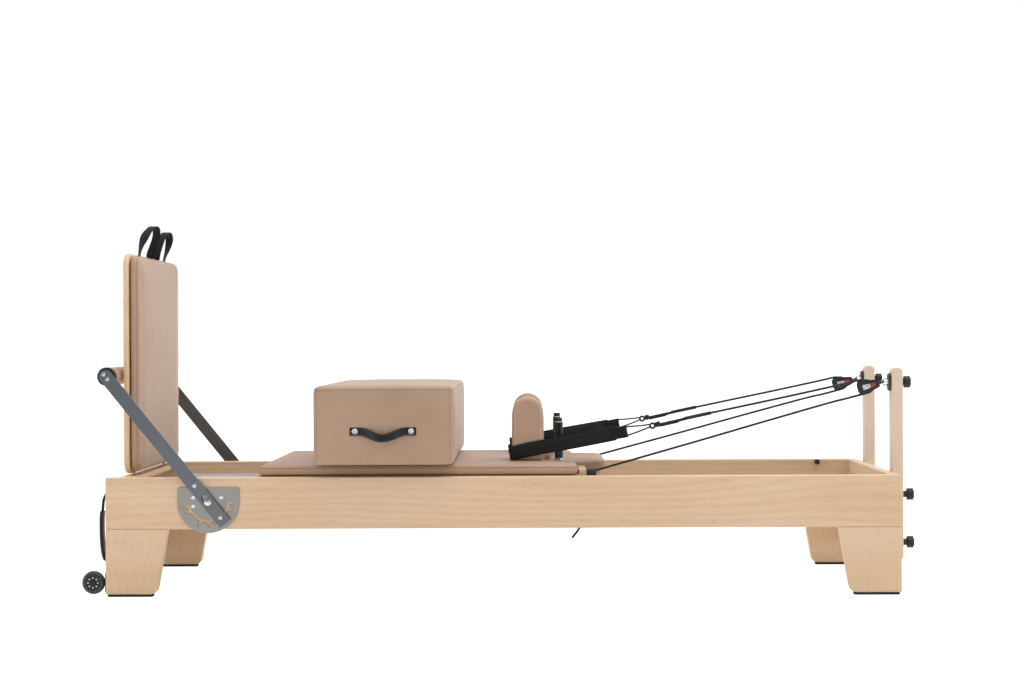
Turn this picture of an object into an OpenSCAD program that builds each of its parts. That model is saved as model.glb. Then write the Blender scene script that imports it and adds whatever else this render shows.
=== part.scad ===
// Pilates reformer: a wooden frame with a sprung, rolling carriage, a swing-down foot bar, a lift-off jump
// board, a sitting box, and two rope-and-pulley risers.  X runs from the foot end to the head end, Z is up.
// The frame is drawn from its foot end at x = 0 and then centred on the whole object's length by in_row().

/* [Frame] */
// Length of the wooden frame
frame_length = 2400; // [2200:10:2880]
// Width over the two side rails
frame_width = 680; // [570:5:820]
// Height of the rails' top edge above the floor
frame_height = 360; // [320:5:432]
// Depth of a side rail
rail_depth = 156; // [130:1:187]
// Thickness of the rails and the legs
rail_thickness = 35; // [28:1:42]
// Thickness of the boards across the two ends
end_board_thickness = 30; // [22:1:36]
// How high the end boards' lower edge is
end_board_rise = 60; // [40:1:80]
// How far the foot end board stops below the top of the rails
end_board_drop = 30; // [0:1:34]
// Width of a leg where it meets the rail
leg_top_width = 188; // [160:1:226]
// Width of a leg at its foot
leg_foot_width = 156; // [120:1:160]
// Thickness of the rubber pad under a leg
foot_pad_height = 8; // [4:1:12]
// Depth of the platform board that the jump board stands on
platform_depth = 85; // [75:1:102]
// Thickness of the platform board
platform_thickness = 15; // [12:1:18]

/* [Tracks and springs] */
// Width of the aluminium track along each rail
track_width = 22; // [18:1:26]
// Depth of the track section
track_depth = 34; // [26:1:40]
// How far the tracks' running surface is below the rails' top edge
track_drop = 80; // [76:1:90]
// Outer diameter of a spring's coils
spring_diameter = 26; // [20:1:31]
// Distance between two springs
spring_pitch = 80; // [60:1:90]
// Diameter of the posts that hold the springs on the spring bar
spring_post_diameter = 12; // [10:1:13]
// Diameter of the springs' hook wire
spring_wire = 5; // [3:0.5:5]

/* [Carriage] */
// Distance from the foot end to the carriage pad
carriage_home = 455; // [440:1:500]
// Length of the carriage pad
pad_length = 976; // [900:1:1000]
// Thickness of the carriage pad and of the headrest pad
pad_thickness = 35; // [30:1:42]
// How far the pad reaches over each rail's top edge
pad_overlap = 13; // [8:1:20]
// Thickness of the carriage's plywood base
base_thickness = 21.5; // [18:0.5:25]
// Length that the carriage can roll
carriage_travel = 800; // [600:10:800]
// Radius of a roller's running surface
roller_radius = 22.5; // [18:0.5:24]
// Radius of the roller axles
roller_axle_radius = 5; // [4:0.5:6]
// Width of the headrest pad
headrest_width = 274; // [240:1:280]
// Length of the headrest pad
headrest_length = 181; // [160:1:190]

/* [Shoulder rests, posts and box] */
// Thickness of a shoulder rest, foot to head
shoulder_thickness = 99; // [80:1:110]
// Width of a shoulder rest
shoulder_width = 116; // [97:1:120]
// Height of a shoulder rest above the pad
shoulder_height = 197; // [160:1:236]
// Distance from the centre line to the middle of a shoulder rest
shoulder_offset = 170; // [160:1:175]
// Radius of the pins under the shoulder rests
shoulder_pin_radius = 6; // [5:0.5:8]
// Radius of the strap posts
post_radius = 13; // [10:0.5:14]
// Height of the strap posts above the pad
post_height = 130; // [110:1:150]
// Length of the sitting box, foot to head
box_depth = 425; // [360:1:450]
// Width of the sitting box across the carriage
box_width = 780; // [650:1:930]
// Height of the sitting box
box_height = 239; // [200:1:286]
// Thickness of the sitting box's padded plywood wall
box_wall = 20; // [16:1:25]

/* [Foot bar] */
// Distance from the foot end to the foot bar's pivot
pivot_x = 313; // [300:1:330]
// How far the pivot is below the rails' top edge
pivot_drop = 73; // [66:1:80]
// Distance from the pivot to the bar
arm_reach = 488; // [470:1:500]
// Width of an arm
arm_width = 40; // [32:1:46]
// Thickness of an arm
arm_thickness = 8; // [6:0.5:10]
// Angle of the arms above the floor
bar_angle = 51; // [49:1:52]
// Radius of the padded bar
bar_radius = 27; // [22:1:30]
// Radius of the bar's steel tube
bar_tube_radius = 16; // [12:0.5:18]
// Outer radius of the notched quadrant plates
quadrant_radius = 94; // [92:1:100]
// Thickness of the quadrant plates
quadrant_thickness = 4; // [3:0.5:5]
// Radius of the arc that the lock pins travel in
arc_radius = 60; // [56:1:64]
// Depth of the quadrant's notches beyond the arc
notch_depth = 13; // [9:1:13]
// Radius of a lock pin
lock_pin_radius = 4; // [3:0.5:4.5]
// Radius of the bolts that the foot bar turns on
pivot_bolt_radius = 5; // [4:0.5:6]

/* [Jump board] */
// Height of the jump board
jump_height = 677; // [560:1:812]
// Width of the jump board's wooden panel
jump_width = 570; // [475:1:600]
// Thickness of the wooden panel
jump_panel_thickness = 17; // [14:1:21]
// Thickness of the jump board's pad
jump_pad_thickness = 34; // [24:1:40]
// Radius of the jump board's corners
jump_corner = 40; // [30:1:60]
// Radius of the pins under the jump board
jump_pin_radius = 6; // [5:0.5:7]

/* [Risers and pulleys] */
// Thickness of a riser, foot to head
riser_thickness = 34; // [28:1:40]
// Width of a riser
riser_width = 40; // [36:1:48]
// Height of a riser's top above the floor
riser_top = 680; // [660:1:780]
// Height of a riser's lower end above the floor
riser_bottom = 91; // [88:1:100]
// Distance from the centre line to the middle of a riser
riser_offset = 197; // [180:1:210]
// How far a riser can be lowered
riser_travel = 70; // [50:1:75]
// Radius of the threaded studs on the knobs
stud_radius = 4; // [3:0.5:5]
// Outer radius of a knob's lobes
knob_radius = 18; // [14:0.5:20]
// Radius that the rope's centre line takes round a pulley
rope_bend_radius = 20; // [18:0.5:22]
// Diameter of the ropes
rope_diameter = 7; // [5:0.5:8]

/* [Transport wheels] */
// Radius of a transport wheel
wheel_radius = 35; // [30:1:37]
// Width of a transport wheel
wheel_width = 24; // [18:1:26]
// Radius of a transport wheel's axle
wheel_axle_radius = 5; // [4:0.5:6]

/* [Clearances] */
// Gap between pieces that move past each other
gap = 0.3; // [0.2:0.05:0.6]
// Radial clearance of a running fit
running_fit = 0.05; // [0.03:0.01:0.1]
// Gap between the rails' top edge and the carriage pad
pad_clearance = 3; // [2:0.5:6]

/* [Hidden] */

// The right-hand pieces are on +Y and the left-hand pieces on -Y.
LEFT = -1;
RIGHT = 1;
SIDES = [LEFT, RIGHT];

// Colours
maple = [0.87, 0.75, 0.61];
vinyl = [0.72, 0.60, 0.50];
steel = [0.62, 0.63, 0.64];
bright = [0.85, 0.85, 0.86];
alloy = [0.75, 0.76, 0.78];
black = [0.08, 0.08, 0.09];
rubber = [0.13, 0.12, 0.12];

// Frame
half_width = frame_width / 2;
rail_inside = half_width - rail_thickness;
rail_bottom = frame_height - rail_depth;
platform_bottom = frame_height - platform_thickness;
track_top = frame_height - track_drop;
leg_corner = 20;

// Carriage
pad_bottom = frame_height + pad_clearance;
pad_top = pad_bottom + pad_thickness;
pad_end = carriage_home + pad_length;
base_top = pad_bottom - 0.5;
base_bottom = base_top - base_thickness;
base_start = carriage_home + 10;
base_end = pad_end + 24;
base_half = rail_inside - 7;
pad_half = rail_inside + pad_overlap;
cross_strip = 23;

// Headrest: its hinge barrel is let into the step of the carriage base
hinge_x = pad_end - 88;
hinge_z = base_top - 7;
hinge_barrel = 4.5;
hinge_pin = 2.5;
hinge_knuckle = 3.7;
headrest_half = headrest_width / 2;
barrel_half = headrest_half - 40;
knuckle_end = headrest_half - 19;
headrest_start = hinge_x + 2;
headrest_board = 12;

// Rollers
roller_axis_z = track_top + roller_radius + gap;
roller_flange = roller_radius + 4.5;
roller_x = [base_start + 75, base_end - 125];

// Springs
spring_y = [for (i = [-2:2]) i * spring_pitch];
spring_z = frame_height - 42;
spring_bar_x = platform_depth + 43;
platform_start = end_board_thickness + 6;
spring_bar_half = 24;
spring_ring = spring_post_diameter / 2 + spring_wire / 2 + 2;
spring_start = spring_bar_x + 24;
anchor_x = carriage_home + 105;
anchor_half = 12;
anchor_reach = 2 * spring_pitch + spring_diameter / 2 + 8;

// Shoulder rests and posts
shoulder_x = hinge_x - 16 - shoulder_thickness / 2;
shoulder_pin_spread = 32;
post_x = hinge_x + 31;
post_y = headrest_half + 38;

// Sitting box
box_start = carriage_home + 178;
box_floor = pad_top + gap;
box_handle_z = box_floor + 102;
box_handle_half = 84;
box_corner = 12;

// Foot bar
pivot_z = frame_height - pivot_drop;
slot_half = lock_pin_radius + 0.4;
slot_relief = 0.25;
notches = [3, 21, bar_angle, 64, 87, 112, 154, 168];
quadrant_top = 44;
quadrant_edge = quadrant_radius - 0.5;
plate_face = half_width + quadrant_thickness;
arm_face = plate_face + 0.6;
arm_outer = arm_face + arm_thickness;
arm_tail = 83;
slide_half = pivot_bolt_radius + 4;
cap_width = 19;
arm_bolts = [64, arm_reach - 9, arm_reach + 9];
plate_screws = [[-46, 14], [-46, -12], [39, 14]];
screw_radius = 2;

// Jump board
jump_x = 42;
jump_bottom = frame_height + 6;
jump_top = jump_bottom + jump_height;
jump_pin_y = jump_width / 2 - 85;
jump_gap = 2;
jump_pad_x = jump_x + jump_panel_thickness + jump_gap;
jump_pad_inset = 4;
jump_pin_x = jump_x + jump_panel_thickness / 2;
loop_feet = [[-150, -15], [68, 178]];
loop_rise = 92;
loop_width = 25;

// Risers and pulleys
riser_x = frame_length + gap;
riser_face = riser_x + riser_thickness;
clamp_z = [frame_height - 71, end_board_rise + 81];
mount_z = riser_top - 44;
mount_thickness = 9;
eye_radius = 10;
eye_wire = 2.5;
swivel_x = riser_x - mount_thickness - 17;
block_angle = 16;
block_length = 52;
rope_radius = rope_diameter / 2;
groove_radius = rope_bend_radius - rope_radius - gap;
sheave_radius = rope_bend_radius + 2;
sheave_half = rope_radius + 2.2;
cheek_thickness = 3;
cheek_radius = sheave_radius + 0.6;
cheek_outer = sheave_half + gap + cheek_thickness;
knob_stem = 10;
knob_head = 20;
clamp_stem_length = 14;
riser_stem_length = 6;

// Transport wheels
wheel_reach = wheel_radius + 6;
wheel_z = wheel_radius + 7;
wheel_y = half_width - 20;
hub_radius = wheel_radius - 12;

// The whole object reaches from the transport wheels to the clamp knobs.
x_low = -wheel_reach - wheel_radius;
x_high = riser_face + gap + clamp_stem_length + knob_head;
x_middle = (x_low + x_high) / 2;

// Ropes: from the free end under the cleat, up through the cleat, along to the pulley, round it, and back
// to the ring of the hand strap.  Points are for the right-hand side, from the frame's foot end.
cleat_y = base_half - 26;
rope_tail = [
    [1413, 257, 166], [1431, 259, 190], [1446, 261, 222], [1456, 264, 260], [1463, 268, 300],
    [1466, 271, 335], [1467, 272, 352], [1469, 272, 362], [1475, 272, 369], [1484, 272, 372]
];
rope_lower_run = [[1600, 262, 404], [1800, 245, 459], [2000, 228, 515], [2200, 209, 570], [2262, 200, 585]];
rope_upper_run = [
    [2300, 200, 641], [2262, 202, 632], [2100, 208, 597], [1980, 213, 572], [1850, 215, 545],
    [1760, 218, 526], [1700, 221, 513], [1672, 222, 507]
];
sheave_centre = [
    swivel_x - block_length * cos(block_angle), riser_offset + 3, mount_z - block_length * sin(block_angle)
];
rope_wrap = [for (a = [-72:12:96]) sheave_centre + rope_bend_radius * [cos(a), 0, sin(a)]];
rope_route = concat(rope_tail, rope_lower_run, rope_wrap, rope_upper_run);
rope_sides = 8;

// Hand straps: a flat webbing loop round each shoulder rest and post, and its cord to the ring.
strap_width = 44;
strap_thickness = 3;
strap_tip = [1584, 220, 488];
strap_ring = [1662, 222, 505];
strap_back = shoulder_x - shoulder_thickness / 2 - 7;
strap_side = shoulder_width / 2 + 5;
strap_low = [strap_back + 1, 0, pad_top + strap_width / 2 + 3];
strap_bend_x = 1330;
strap_loop = [
    [1584, 0], [1520, 16], [1440, 40],
    [strap_back + 109, strap_side], [strap_back + 59, strap_side], [strap_back + 15, strap_side],
    [strap_back, strap_side], [strap_back, strap_side - 18], [strap_back, 0],
    [strap_back, 18 - strap_side], [strap_back, -strap_side],
    [strap_back + 15, -strap_side], [strap_back + 59, -strap_side], [strap_back + 109, -strap_side],
    [1440, -40], [1520, -16]
];

// Carrying straps on the foot end
strap_grip_y = rail_inside - 55;
strap_grip_width = 38;
end_strap_route = [
    [-2, 0, 312], [-14, 0, 306], [-26, 0, 296], [-32, 0, 280], [-33, 0, 250], [-34, 0, 220], [-34, 0, 190],
    [-32, 0, 160], [-28, 0, 130], [-21, 0, 106], [-12, 0, 90], [-2, 0, 82]
];

// Geometry helpers

module in_row() translate([-x_middle, 0, 0]) children();

// A solid between two heights of a profile drawn in X and Z, laid from y0 to y1.
module along_y(y0, y1) translate([0, y1, 0]) rotate([90, 0, 0]) linear_extrude(y1 - y0) children();

// The same on the left or the right: side is -1 or 1, and the distances are from the centre line.
module side_slab(side, near, far)
    along_y(min(side * near, side * far), max(side * near, side * far)) children();

module rod_x(r, x0, x1) translate([x0, 0, 0]) rotate([0, 90, 0]) cylinder(r = r, h = x1 - x0, $fn = 48);
module rod_y(r, y0, y1) translate([0, y0, 0]) rotate([-90, 0, 0]) cylinder(r = r, h = y1 - y0, $fn = 48);
module rod_z(r, z0, z1) translate([0, 0, z0]) cylinder(r = r, h = z1 - z0, $fn = 48);
module side_rod(side, r, near, far) rod_y(r, min(side * near, side * far), max(side * near, side * far));

module ring(major, wire) rotate_extrude($fn = 48) translate([major, 0]) circle(r = wire, $fn = 24);

// A rectangle centred on the origin with round corners.
module round_rect(w, h, r) {
    square([w - 2 * r, h], center = true);
    square([w, h - 2 * r], center = true);
    for (x = [-1, 1], y = [-1, 1]) translate([x * (w / 2 - r), y * (h / 2 - r)]) circle(r = r, $fn = 64);
}

function unit(v) = v / norm(v);
function along(p, i) = unit(p[min(i + 1, len(p) - 1)] - p[max(i - 1, 0)]);

// A tube swept along points, with a ring of corners at each.
module tube(points, radius, sides) {
    n = len(points);
    rings = [
        for (i = [0:n - 1])
            let (
                t = along(points, i),
                u = unit(cross(t, [0, 1, 0.001])),
                v = cross(t, u)
            )
            for (k = [0:sides - 1])
                points[i] + radius * (cos(360 * k / sides) * u + sin(360 * k / sides) * v)
    ];
    walls = [
        for (i = [0:n - 2], k = [0:sides - 1])
            let (a = i * sides, b = a + sides, m = (k + 1) % sides)
            [a + k, b + k, b + m, a + m]
    ];
    ends = [[for (k = [0:sides - 1]) k], [for (k = [sides - 1:-1:0]) (n - 1) * sides + k]];
    polyhedron(points = rings, faces = concat(walls, ends), convexity = 6);
}

// A straight band of rectangular section swept along points; across gives the direction of its width.
module band(points, width, thickness, across, closed = false) {
    n = len(points);
    last = closed ? n - 1 : n - 2;
    corners = [
        for (i = [0:n - 1])
            let (
                before = closed ? points[(i + n - 1) % n] : points[max(i - 1, 0)],
                after = closed ? points[(i + 1) % n] : points[min(i + 1, n - 1)],
                out = unit(cross(after - before, across)) * thickness / 2,
                side = across * width / 2
            )
            each [
                points[i] - out - side, points[i] + out - side,
                points[i] + out + side, points[i] - out + side
            ]
    ];
    walls = [
        for (i = [0:last], k = [0:3])
            let (a = i * 4, b = ((i + 1) % n) * 4, m = (k + 1) % 4)
            [a + k, a + m, b + m, b + k]
    ];
    ends = closed ? [] : [[3, 2, 1, 0], [for (k = [0:3]) (n - 1) * 4 + k]];
    polyhedron(points = corners, faces = concat(walls, ends), convexity = 6);
}

// Corner cutting, which rounds a closed line of points.
function rounded(p) = [
    for (i = [0:len(p) - 1])
        let (q = p[(i + 1) % len(p)])
        each [0.75 * p[i] + 0.25 * q, 0.25 * p[i] + 0.75 * q]
];

// Frame

module screw_bores(side, from, to)
    for (s = plate_screws)
        translate([pivot_x + s[0], 0, pivot_z + s[1]]) side_rod(side, screw_radius + running_fit, from, to);

module side_rail(side) difference() {
    side_slab(side, rail_inside, half_width)
        translate([0, rail_bottom]) square([frame_length, rail_depth]);
    screw_bores(side, half_width - 25, half_width + 1);
    translate([pivot_x, 0, pivot_z])
        side_rod(side, pivot_bolt_radius + running_fit, half_width - 30, half_width + 1);
}

module side_rail_left() in_row() color(maple) side_rail(LEFT);
module side_rail_right() in_row() color(maple) side_rail(RIGHT);

module foot_end_board() in_row() color(maple)
    translate([0, -rail_inside, end_board_rise])
        cube([end_board_thickness, 2 * rail_inside, frame_height - end_board_drop - end_board_rise]);

module head_end_board() in_row() color(maple) difference() {
    translate([frame_length - end_board_thickness, -rail_inside, end_board_rise])
        cube([end_board_thickness, 2 * rail_inside, frame_height - end_board_rise]);
    for (side = SIDES, z = clamp_z)
        translate([0, side * riser_offset, z])
            rod_x(stud_radius + running_fit, frame_length - end_board_thickness + 4, frame_length + 1);
}

module foot_platform() in_row() color(maple) difference() {
    translate([platform_start, -rail_inside, platform_bottom])
        cube([platform_depth - platform_start, 2 * rail_inside, platform_thickness]);
    for (side = SIDES)
        translate([jump_pin_x, side * jump_pin_y, 0])
            rod_z(jump_pin_radius + gap, platform_bottom - 1, frame_height + 1);
}

module leg_outline() {
    corner = [leg_foot_width - leg_corner, foot_pad_height + leg_corner];
    polygon(concat(
        [[0, rail_bottom], [0, foot_pad_height]],
        [for (a = [-90:15:-15]) corner + leg_corner * [cos(a), sin(a)]],
        [[leg_top_width, rail_bottom]]
    ));
}

// Draws its child at each corner of the frame, turned so that x runs inwards from the frame's end.
module each_corner() {
    children();
    translate([frame_length, 0, 0]) mirror([1, 0, 0]) children();
}

module legs() in_row() color(maple)
    each_corner() for (side = SIDES) side_slab(side, rail_inside, half_width) leg_outline();

module rubber_feet() in_row() color(rubber)
    each_corner()
        for (side = SIDES)
            translate([leg_foot_width / 2 - 5, side * (half_width - rail_thickness / 2), 0])
                linear_extrude(foot_pad_height) round_rect(leg_foot_width - 18, rail_thickness - 6, 8);

module track_outline() polygon([
    [0, track_top], [track_width, track_top], [track_width, track_top - 6], [5, track_top - 6],
    [5, track_top - track_depth], [0, track_top - track_depth]
]);

module tracks() in_row() color(alloy)
    for (side = SIDES)
        translate([end_board_thickness, side * rail_inside, 0])
            rotate([90, 0, 90])
                linear_extrude(frame_length - 2 * end_board_thickness)
                    mirror([side > 0 ? 1 : 0, 0]) track_outline();

// A bar across the frame with a headed post for each spring.
module spring_bar() in_row() color(steel) {
    translate([spring_bar_x - spring_bar_half, -rail_inside, spring_z - 20])
        cube([2 * spring_bar_half, 2 * rail_inside, 12]);
    for (y = spring_y)
        translate([spring_bar_x, y, 0]) {
            rod_z(spring_post_diameter / 2, spring_z - 9, spring_z + 12);
            rod_z(spring_post_diameter / 2 + 3, spring_z + 11, spring_z + 16);
        }
}

module springs() in_row() color(steel)
    for (y = spring_y)
        translate([0, y, spring_z]) {
            translate([spring_bar_x, 0, 0]) ring(spring_ring, spring_wire / 2);
            rod_x(spring_wire / 2, spring_bar_x + spring_ring, spring_start + 2);
            rod_x(spring_diameter / 2, spring_start, anchor_x - anchor_half - 20);
            rod_x(spring_wire / 2, anchor_x - anchor_half - 22, anchor_x - anchor_half - gap);
        }

// Rubber stops on the rails, which the carriage base meets at each end of its travel.
module bumpers() in_row() color(rubber)
    for (side = SIDES, x = [base_start - gap - 14, base_end + carriage_travel + gap])
        translate([x, min(side * (rail_inside - 20), side * rail_inside), base_bottom + 3])
            cube([14, 20, base_thickness - 6]);

// Quadrants: u and v are measured from the pivot, u towards the head end and v up.
module arc_slot() {
    difference() {
        circle(r = arc_radius + slot_half, $fn = 128);
        circle(r = arc_radius - slot_half, $fn = 128);
        polygon([[0, 0], 200 * [cos(notches[0]), -sin(notches[0])], [200, 200], [-200, 200],
            200 * [cos(notches[7]), -sin(notches[7])]]);
    }
    for (a = [notches[0], notches[7]])
        rotate(-a) translate([arc_radius, 0]) circle(r = slot_half + slot_relief, $fn = 32);
    for (a = notches)
        rotate(-a) {
            translate([arc_radius, -slot_half]) square([notch_depth, 2 * slot_half]);
            translate([arc_radius + notch_depth, 0]) circle(r = slot_half + slot_relief, $fn = 32);
        }
}

module quadrant_outline() difference() {
    union() {
        circle(r = quadrant_radius, $fn = 128);
        polygon(concat(
            [[-quadrant_edge, 0], [quadrant_edge, 0]],
            [for (a = [0:30:90]) [quadrant_edge - 6 + 6 * cos(a), quadrant_top - 6 + 6 * sin(a)]],
            [for (a = [90:30:180]) [-quadrant_edge + 6 + 6 * cos(a), quadrant_top - 6 + 6 * sin(a)]]
        ));
    }
    translate([-quadrant_radius - 1, quadrant_top]) square([2 * quadrant_radius + 2, quadrant_radius]);
    arc_slot();
    circle(r = pivot_bolt_radius + running_fit, $fn = 32);
    for (s = plate_screws) translate(s) circle(r = screw_radius + running_fit, $fn = 24);
}

module quadrant_plates() in_row() color(steel)
    for (side = SIDES)
        translate([pivot_x, 0, pivot_z]) side_slab(side, half_width, plate_face) quadrant_outline();

// The quadrants' screws and the two bolts that the foot bar turns on.
module frame_screws() in_row() color(bright)
    for (side = SIDES)
        translate([pivot_x, 0, pivot_z]) {
            side_rod(side, pivot_bolt_radius, half_width - 28, arm_outer + 2);
            side_rod(side, slide_half + 1, arm_outer + gap, arm_outer + 4);
            for (s = plate_screws)
                translate([s[0], 0, s[1]]) {
                    side_rod(side, screw_radius, half_width - 22, plate_face + 0.4);
                    side_rod(side, 4, plate_face, plate_face + 0.5);
                }
        }

// Foot bar: drawn lying along +X from the pivot, then turned up to its angle.
module at_bar_angle() translate([pivot_x, 0, pivot_z]) rotate([0, 180 + bar_angle, 0]) children();

module obround(from, to, r) {
    translate([from, -r]) square([to - from, 2 * r]);
    for (x = [from, to]) translate([x, 0]) circle(r = r, $fn = 48);
}

module foot_bar_slides() in_row() color(bright)
    at_bar_angle()
        for (side = SIDES)
            difference() {
                side_slab(side, arm_face, arm_outer) obround(-3, 3, slide_half);
                side_rod(side, pivot_bolt_radius + running_fit, arm_face - 1, arm_outer + 1);
            }

module arm_outline() difference() {
    union() {
        translate([-arm_tail, -arm_width / 2]) square([arm_tail + arm_reach, arm_width]);
        translate([arm_reach, 0]) circle(r = arm_width / 2, $fn = 64);
    }
    obround(-3, 3 + notch_depth, slide_half + gap);
    translate([-arc_radius, 0]) circle(r = lock_pin_radius + running_fit, $fn = 32);
    for (x = arm_bolts) translate([x, 0]) circle(r = 3 + running_fit, $fn = 24);
}

module foot_bar_arms() in_row() color(steel)
    at_bar_angle() for (side = SIDES) side_slab(side, arm_face, arm_outer) arm_outline();

module at_bar() at_bar_angle() translate([arm_reach, 0, 0]) children();

module foot_bar_tube() in_row() color(steel)
    at_bar() difference() {
        rod_y(bar_tube_radius, -arm_face, arm_face);
        rod_y(bar_tube_radius - 3, -arm_face - 1, arm_face + 1);
    }

module foot_bar_pad() in_row() color(vinyl)
    at_bar() difference() {
        rod_y(bar_radius, cap_width - arm_face, arm_face - cap_width);
        rod_y(bar_tube_radius + running_fit, -arm_face, arm_face);
    }

module foot_bar_caps() in_row() color(black)
    at_bar()
        for (side = SIDES)
            difference() {
                side_rod(side, bar_radius + 1, arm_face - cap_width, arm_face);
                side_rod(side, bar_tube_radius + running_fit, arm_face - cap_width - 1, arm_face + 1);
            }

// Lock pins, which stand through the arms into the quadrants' slots, and the arms' bolts.
module foot_bar_bolts() in_row() color(bright)
    at_bar_angle()
        for (side = SIDES) {
            translate([-arc_radius, 0, 0]) {
                side_rod(side, lock_pin_radius, half_width + gap, arm_outer + 1);
                side_rod(side, lock_pin_radius + 2, arm_outer, arm_outer + 3);
            }
            for (x = arm_bolts)
                translate([x, 0, 0]) {
                    side_rod(side, 3, x > arm_reach - 20 ? arm_face - 20 : arm_face, arm_outer + 1);
                    side_rod(side, 5, arm_outer, arm_outer + 2.5);
                }
        }

// Jump board

module upright_board(x, thickness, width, bottom, top, corner)
    translate([x, 0, (bottom + top) / 2])
        rotate([90, 0, 90]) linear_extrude(thickness) round_rect(width, top - bottom, corner);

module jump_board_panel() in_row() color(maple) difference() {
    upright_board(jump_x, jump_panel_thickness, jump_width, jump_bottom, jump_top, jump_corner);
    for (side = SIDES)
        translate([jump_pin_x, side * jump_pin_y, 0])
            rod_z(jump_pin_radius + running_fit, jump_bottom - 1, jump_bottom + 40);
}

module jump_board_pad() in_row() color(vinyl)
    upright_board(jump_pad_x, jump_pad_thickness, jump_width - 2 * jump_pad_inset,
        jump_bottom + jump_pad_inset, jump_top - jump_pad_inset, jump_corner - jump_pad_inset);

// Each pin has a collar that rests on the platform.
module jump_board_pins() in_row() color(steel)
    for (side = SIDES)
        translate([jump_pin_x, side * jump_pin_y, 0]) {
            rod_z(jump_pin_radius, platform_bottom - 22, jump_bottom + 38);
            rod_z(jump_pin_radius + 2, frame_height + gap, jump_bottom);
        }

module jump_board_loops() in_row() color(black)
    for (feet = loop_feet) {
        half = (feet[1] - feet[0]) / 2;
        route = [
            for (a = [0:15:180])
                [jump_pad_x - 1, feet[0] + half * (1 - cos(a)), jump_top + loop_rise * sin(a)]
        ];
        band(route, loop_width, 3, [1, 0, 0]);
    }

// Carriage

module post_bores(r, z0, z1) for (side = SIDES) translate([post_x, side * post_y, 0]) rod_z(r, z0, z1);

module shoulder_pins(r, z0, z1)
    for (y = [-1, 1]) translate([shoulder_x, y * shoulder_pin_spread, 0]) rod_z(r, z0, z1);

module headrest_space(clearance, z0, z1)
    translate([hinge_x - clearance, -headrest_half - 3, z0])
        cube([base_end - hinge_x + 100, 2 * headrest_half + 6, z1 - z0]);

// The plywood base, its raised strip at the head end, and the bar that the springs pull on.
module carriage_base() in_row() color(maple) difference() {
    union() {
        translate([base_start, -base_half, base_bottom])
            cube([base_end - base_start, 2 * base_half, base_thickness]);
        translate([base_end - cross_strip, -base_half, base_bottom - 16])
            cube([cross_strip, 2 * base_half, base_thickness + 30]);
        translate([anchor_x - anchor_half, -anchor_reach, spring_z - 14])
            cube([2 * anchor_half, 2 * anchor_reach, base_bottom - spring_z + 15]);
    }
    headrest_space(hinge_barrel + 1, base_top - headrest_board - 1.2, pad_top);
    for (side = SIDES)
        translate([0, side * shoulder_offset, 0])
            shoulder_pins(shoulder_pin_radius + gap, base_bottom - 1, base_top + 1);
    post_bores(stud_radius + running_fit, base_bottom - 1, base_top + 1);
}

module carriage_pad() in_row() color(vinyl) difference() {
    translate([carriage_home + pad_length / 2, 0, pad_bottom])
        linear_extrude(pad_thickness) round_rect(pad_length, 2 * pad_half, 12);
    headrest_space(16, pad_bottom - 1, pad_top + 1);
    for (side = SIDES)
        translate([0, side * shoulder_offset, 0])
            shoulder_pins(shoulder_pin_radius + gap, pad_bottom - 1, pad_top + 1);
    post_bores(post_radius + gap, pad_bottom - 1, pad_top + 1);
}

// The roller brackets with their axles, and the headrest's hinge pin with the knuckles that hold it.
module carriage_brackets() in_row() color(steel) {
    for (side = SIDES, x = roller_x)
        translate([x, 0, 0]) {
            side_slab(side, rail_inside - 42, rail_inside - 36)
                translate([-26, roller_axis_z - 12]) square([52, base_bottom - roller_axis_z + 12]);
            side_slab(side, rail_inside - 62, rail_inside - 37)
                translate([-26, base_bottom - 4]) square([52, 4]);
            translate([0, 0, roller_axis_z])
                side_rod(side, roller_axle_radius, rail_inside - 41, rail_inside - 3);
        }
    translate([hinge_x, 0, hinge_z]) {
        rod_y(hinge_pin, -knuckle_end, knuckle_end);
        for (side = SIDES) {
            side_rod(side, hinge_knuckle, barrel_half + gap, knuckle_end);
            side_slab(side, barrel_half + gap, knuckle_end)
                translate([-hinge_barrel - 1, -1.5]) square([hinge_barrel + 1, 3]);
        }
    }
}

// A roller runs on the track's top, and its flange hangs inside the track's edge.
module roller(side, x) in_row() color(black)
    translate([x, 0, roller_axis_z])
        difference() {
            union() {
                side_rod(side, roller_radius, rail_inside - track_width - 1, rail_inside - 4);
                side_rod(side, roller_flange, rail_inside - track_width - 7, rail_inside - track_width - gap);
            }
            side_rod(side, roller_axle_radius + running_fit, rail_inside - track_width - 8, rail_inside);
        }

module roller_foot_left() roller(LEFT, roller_x[0]);
module roller_foot_right() roller(RIGHT, roller_x[0]);
module roller_head_left() roller(LEFT, roller_x[1]);
module roller_head_right() roller(RIGHT, roller_x[1]);

// The headrest's board, with its half of the hinge.
module headrest_base() in_row() color(maple) difference() {
    union() {
        translate([hinge_x + 4, -headrest_half + 7, base_top - headrest_board])
            cube([headrest_length - 24, headrest_width - 14, headrest_board]);
        translate([hinge_x, 0, hinge_z]) rod_y(hinge_barrel, -barrel_half, barrel_half);
    }
    translate([hinge_x, 0, hinge_z]) rod_y(hinge_pin + running_fit, -headrest_half, headrest_half);
}

module headrest_pad() in_row() color(vinyl) {
    middle = headrest_start + headrest_length / 2;
    translate([middle, 0, pad_bottom])
        linear_extrude(pad_thickness) round_rect(headrest_length, headrest_width, 30);
    translate([headrest_start, -headrest_half, pad_bottom]) cube([40, headrest_width, pad_thickness]);
}

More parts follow.
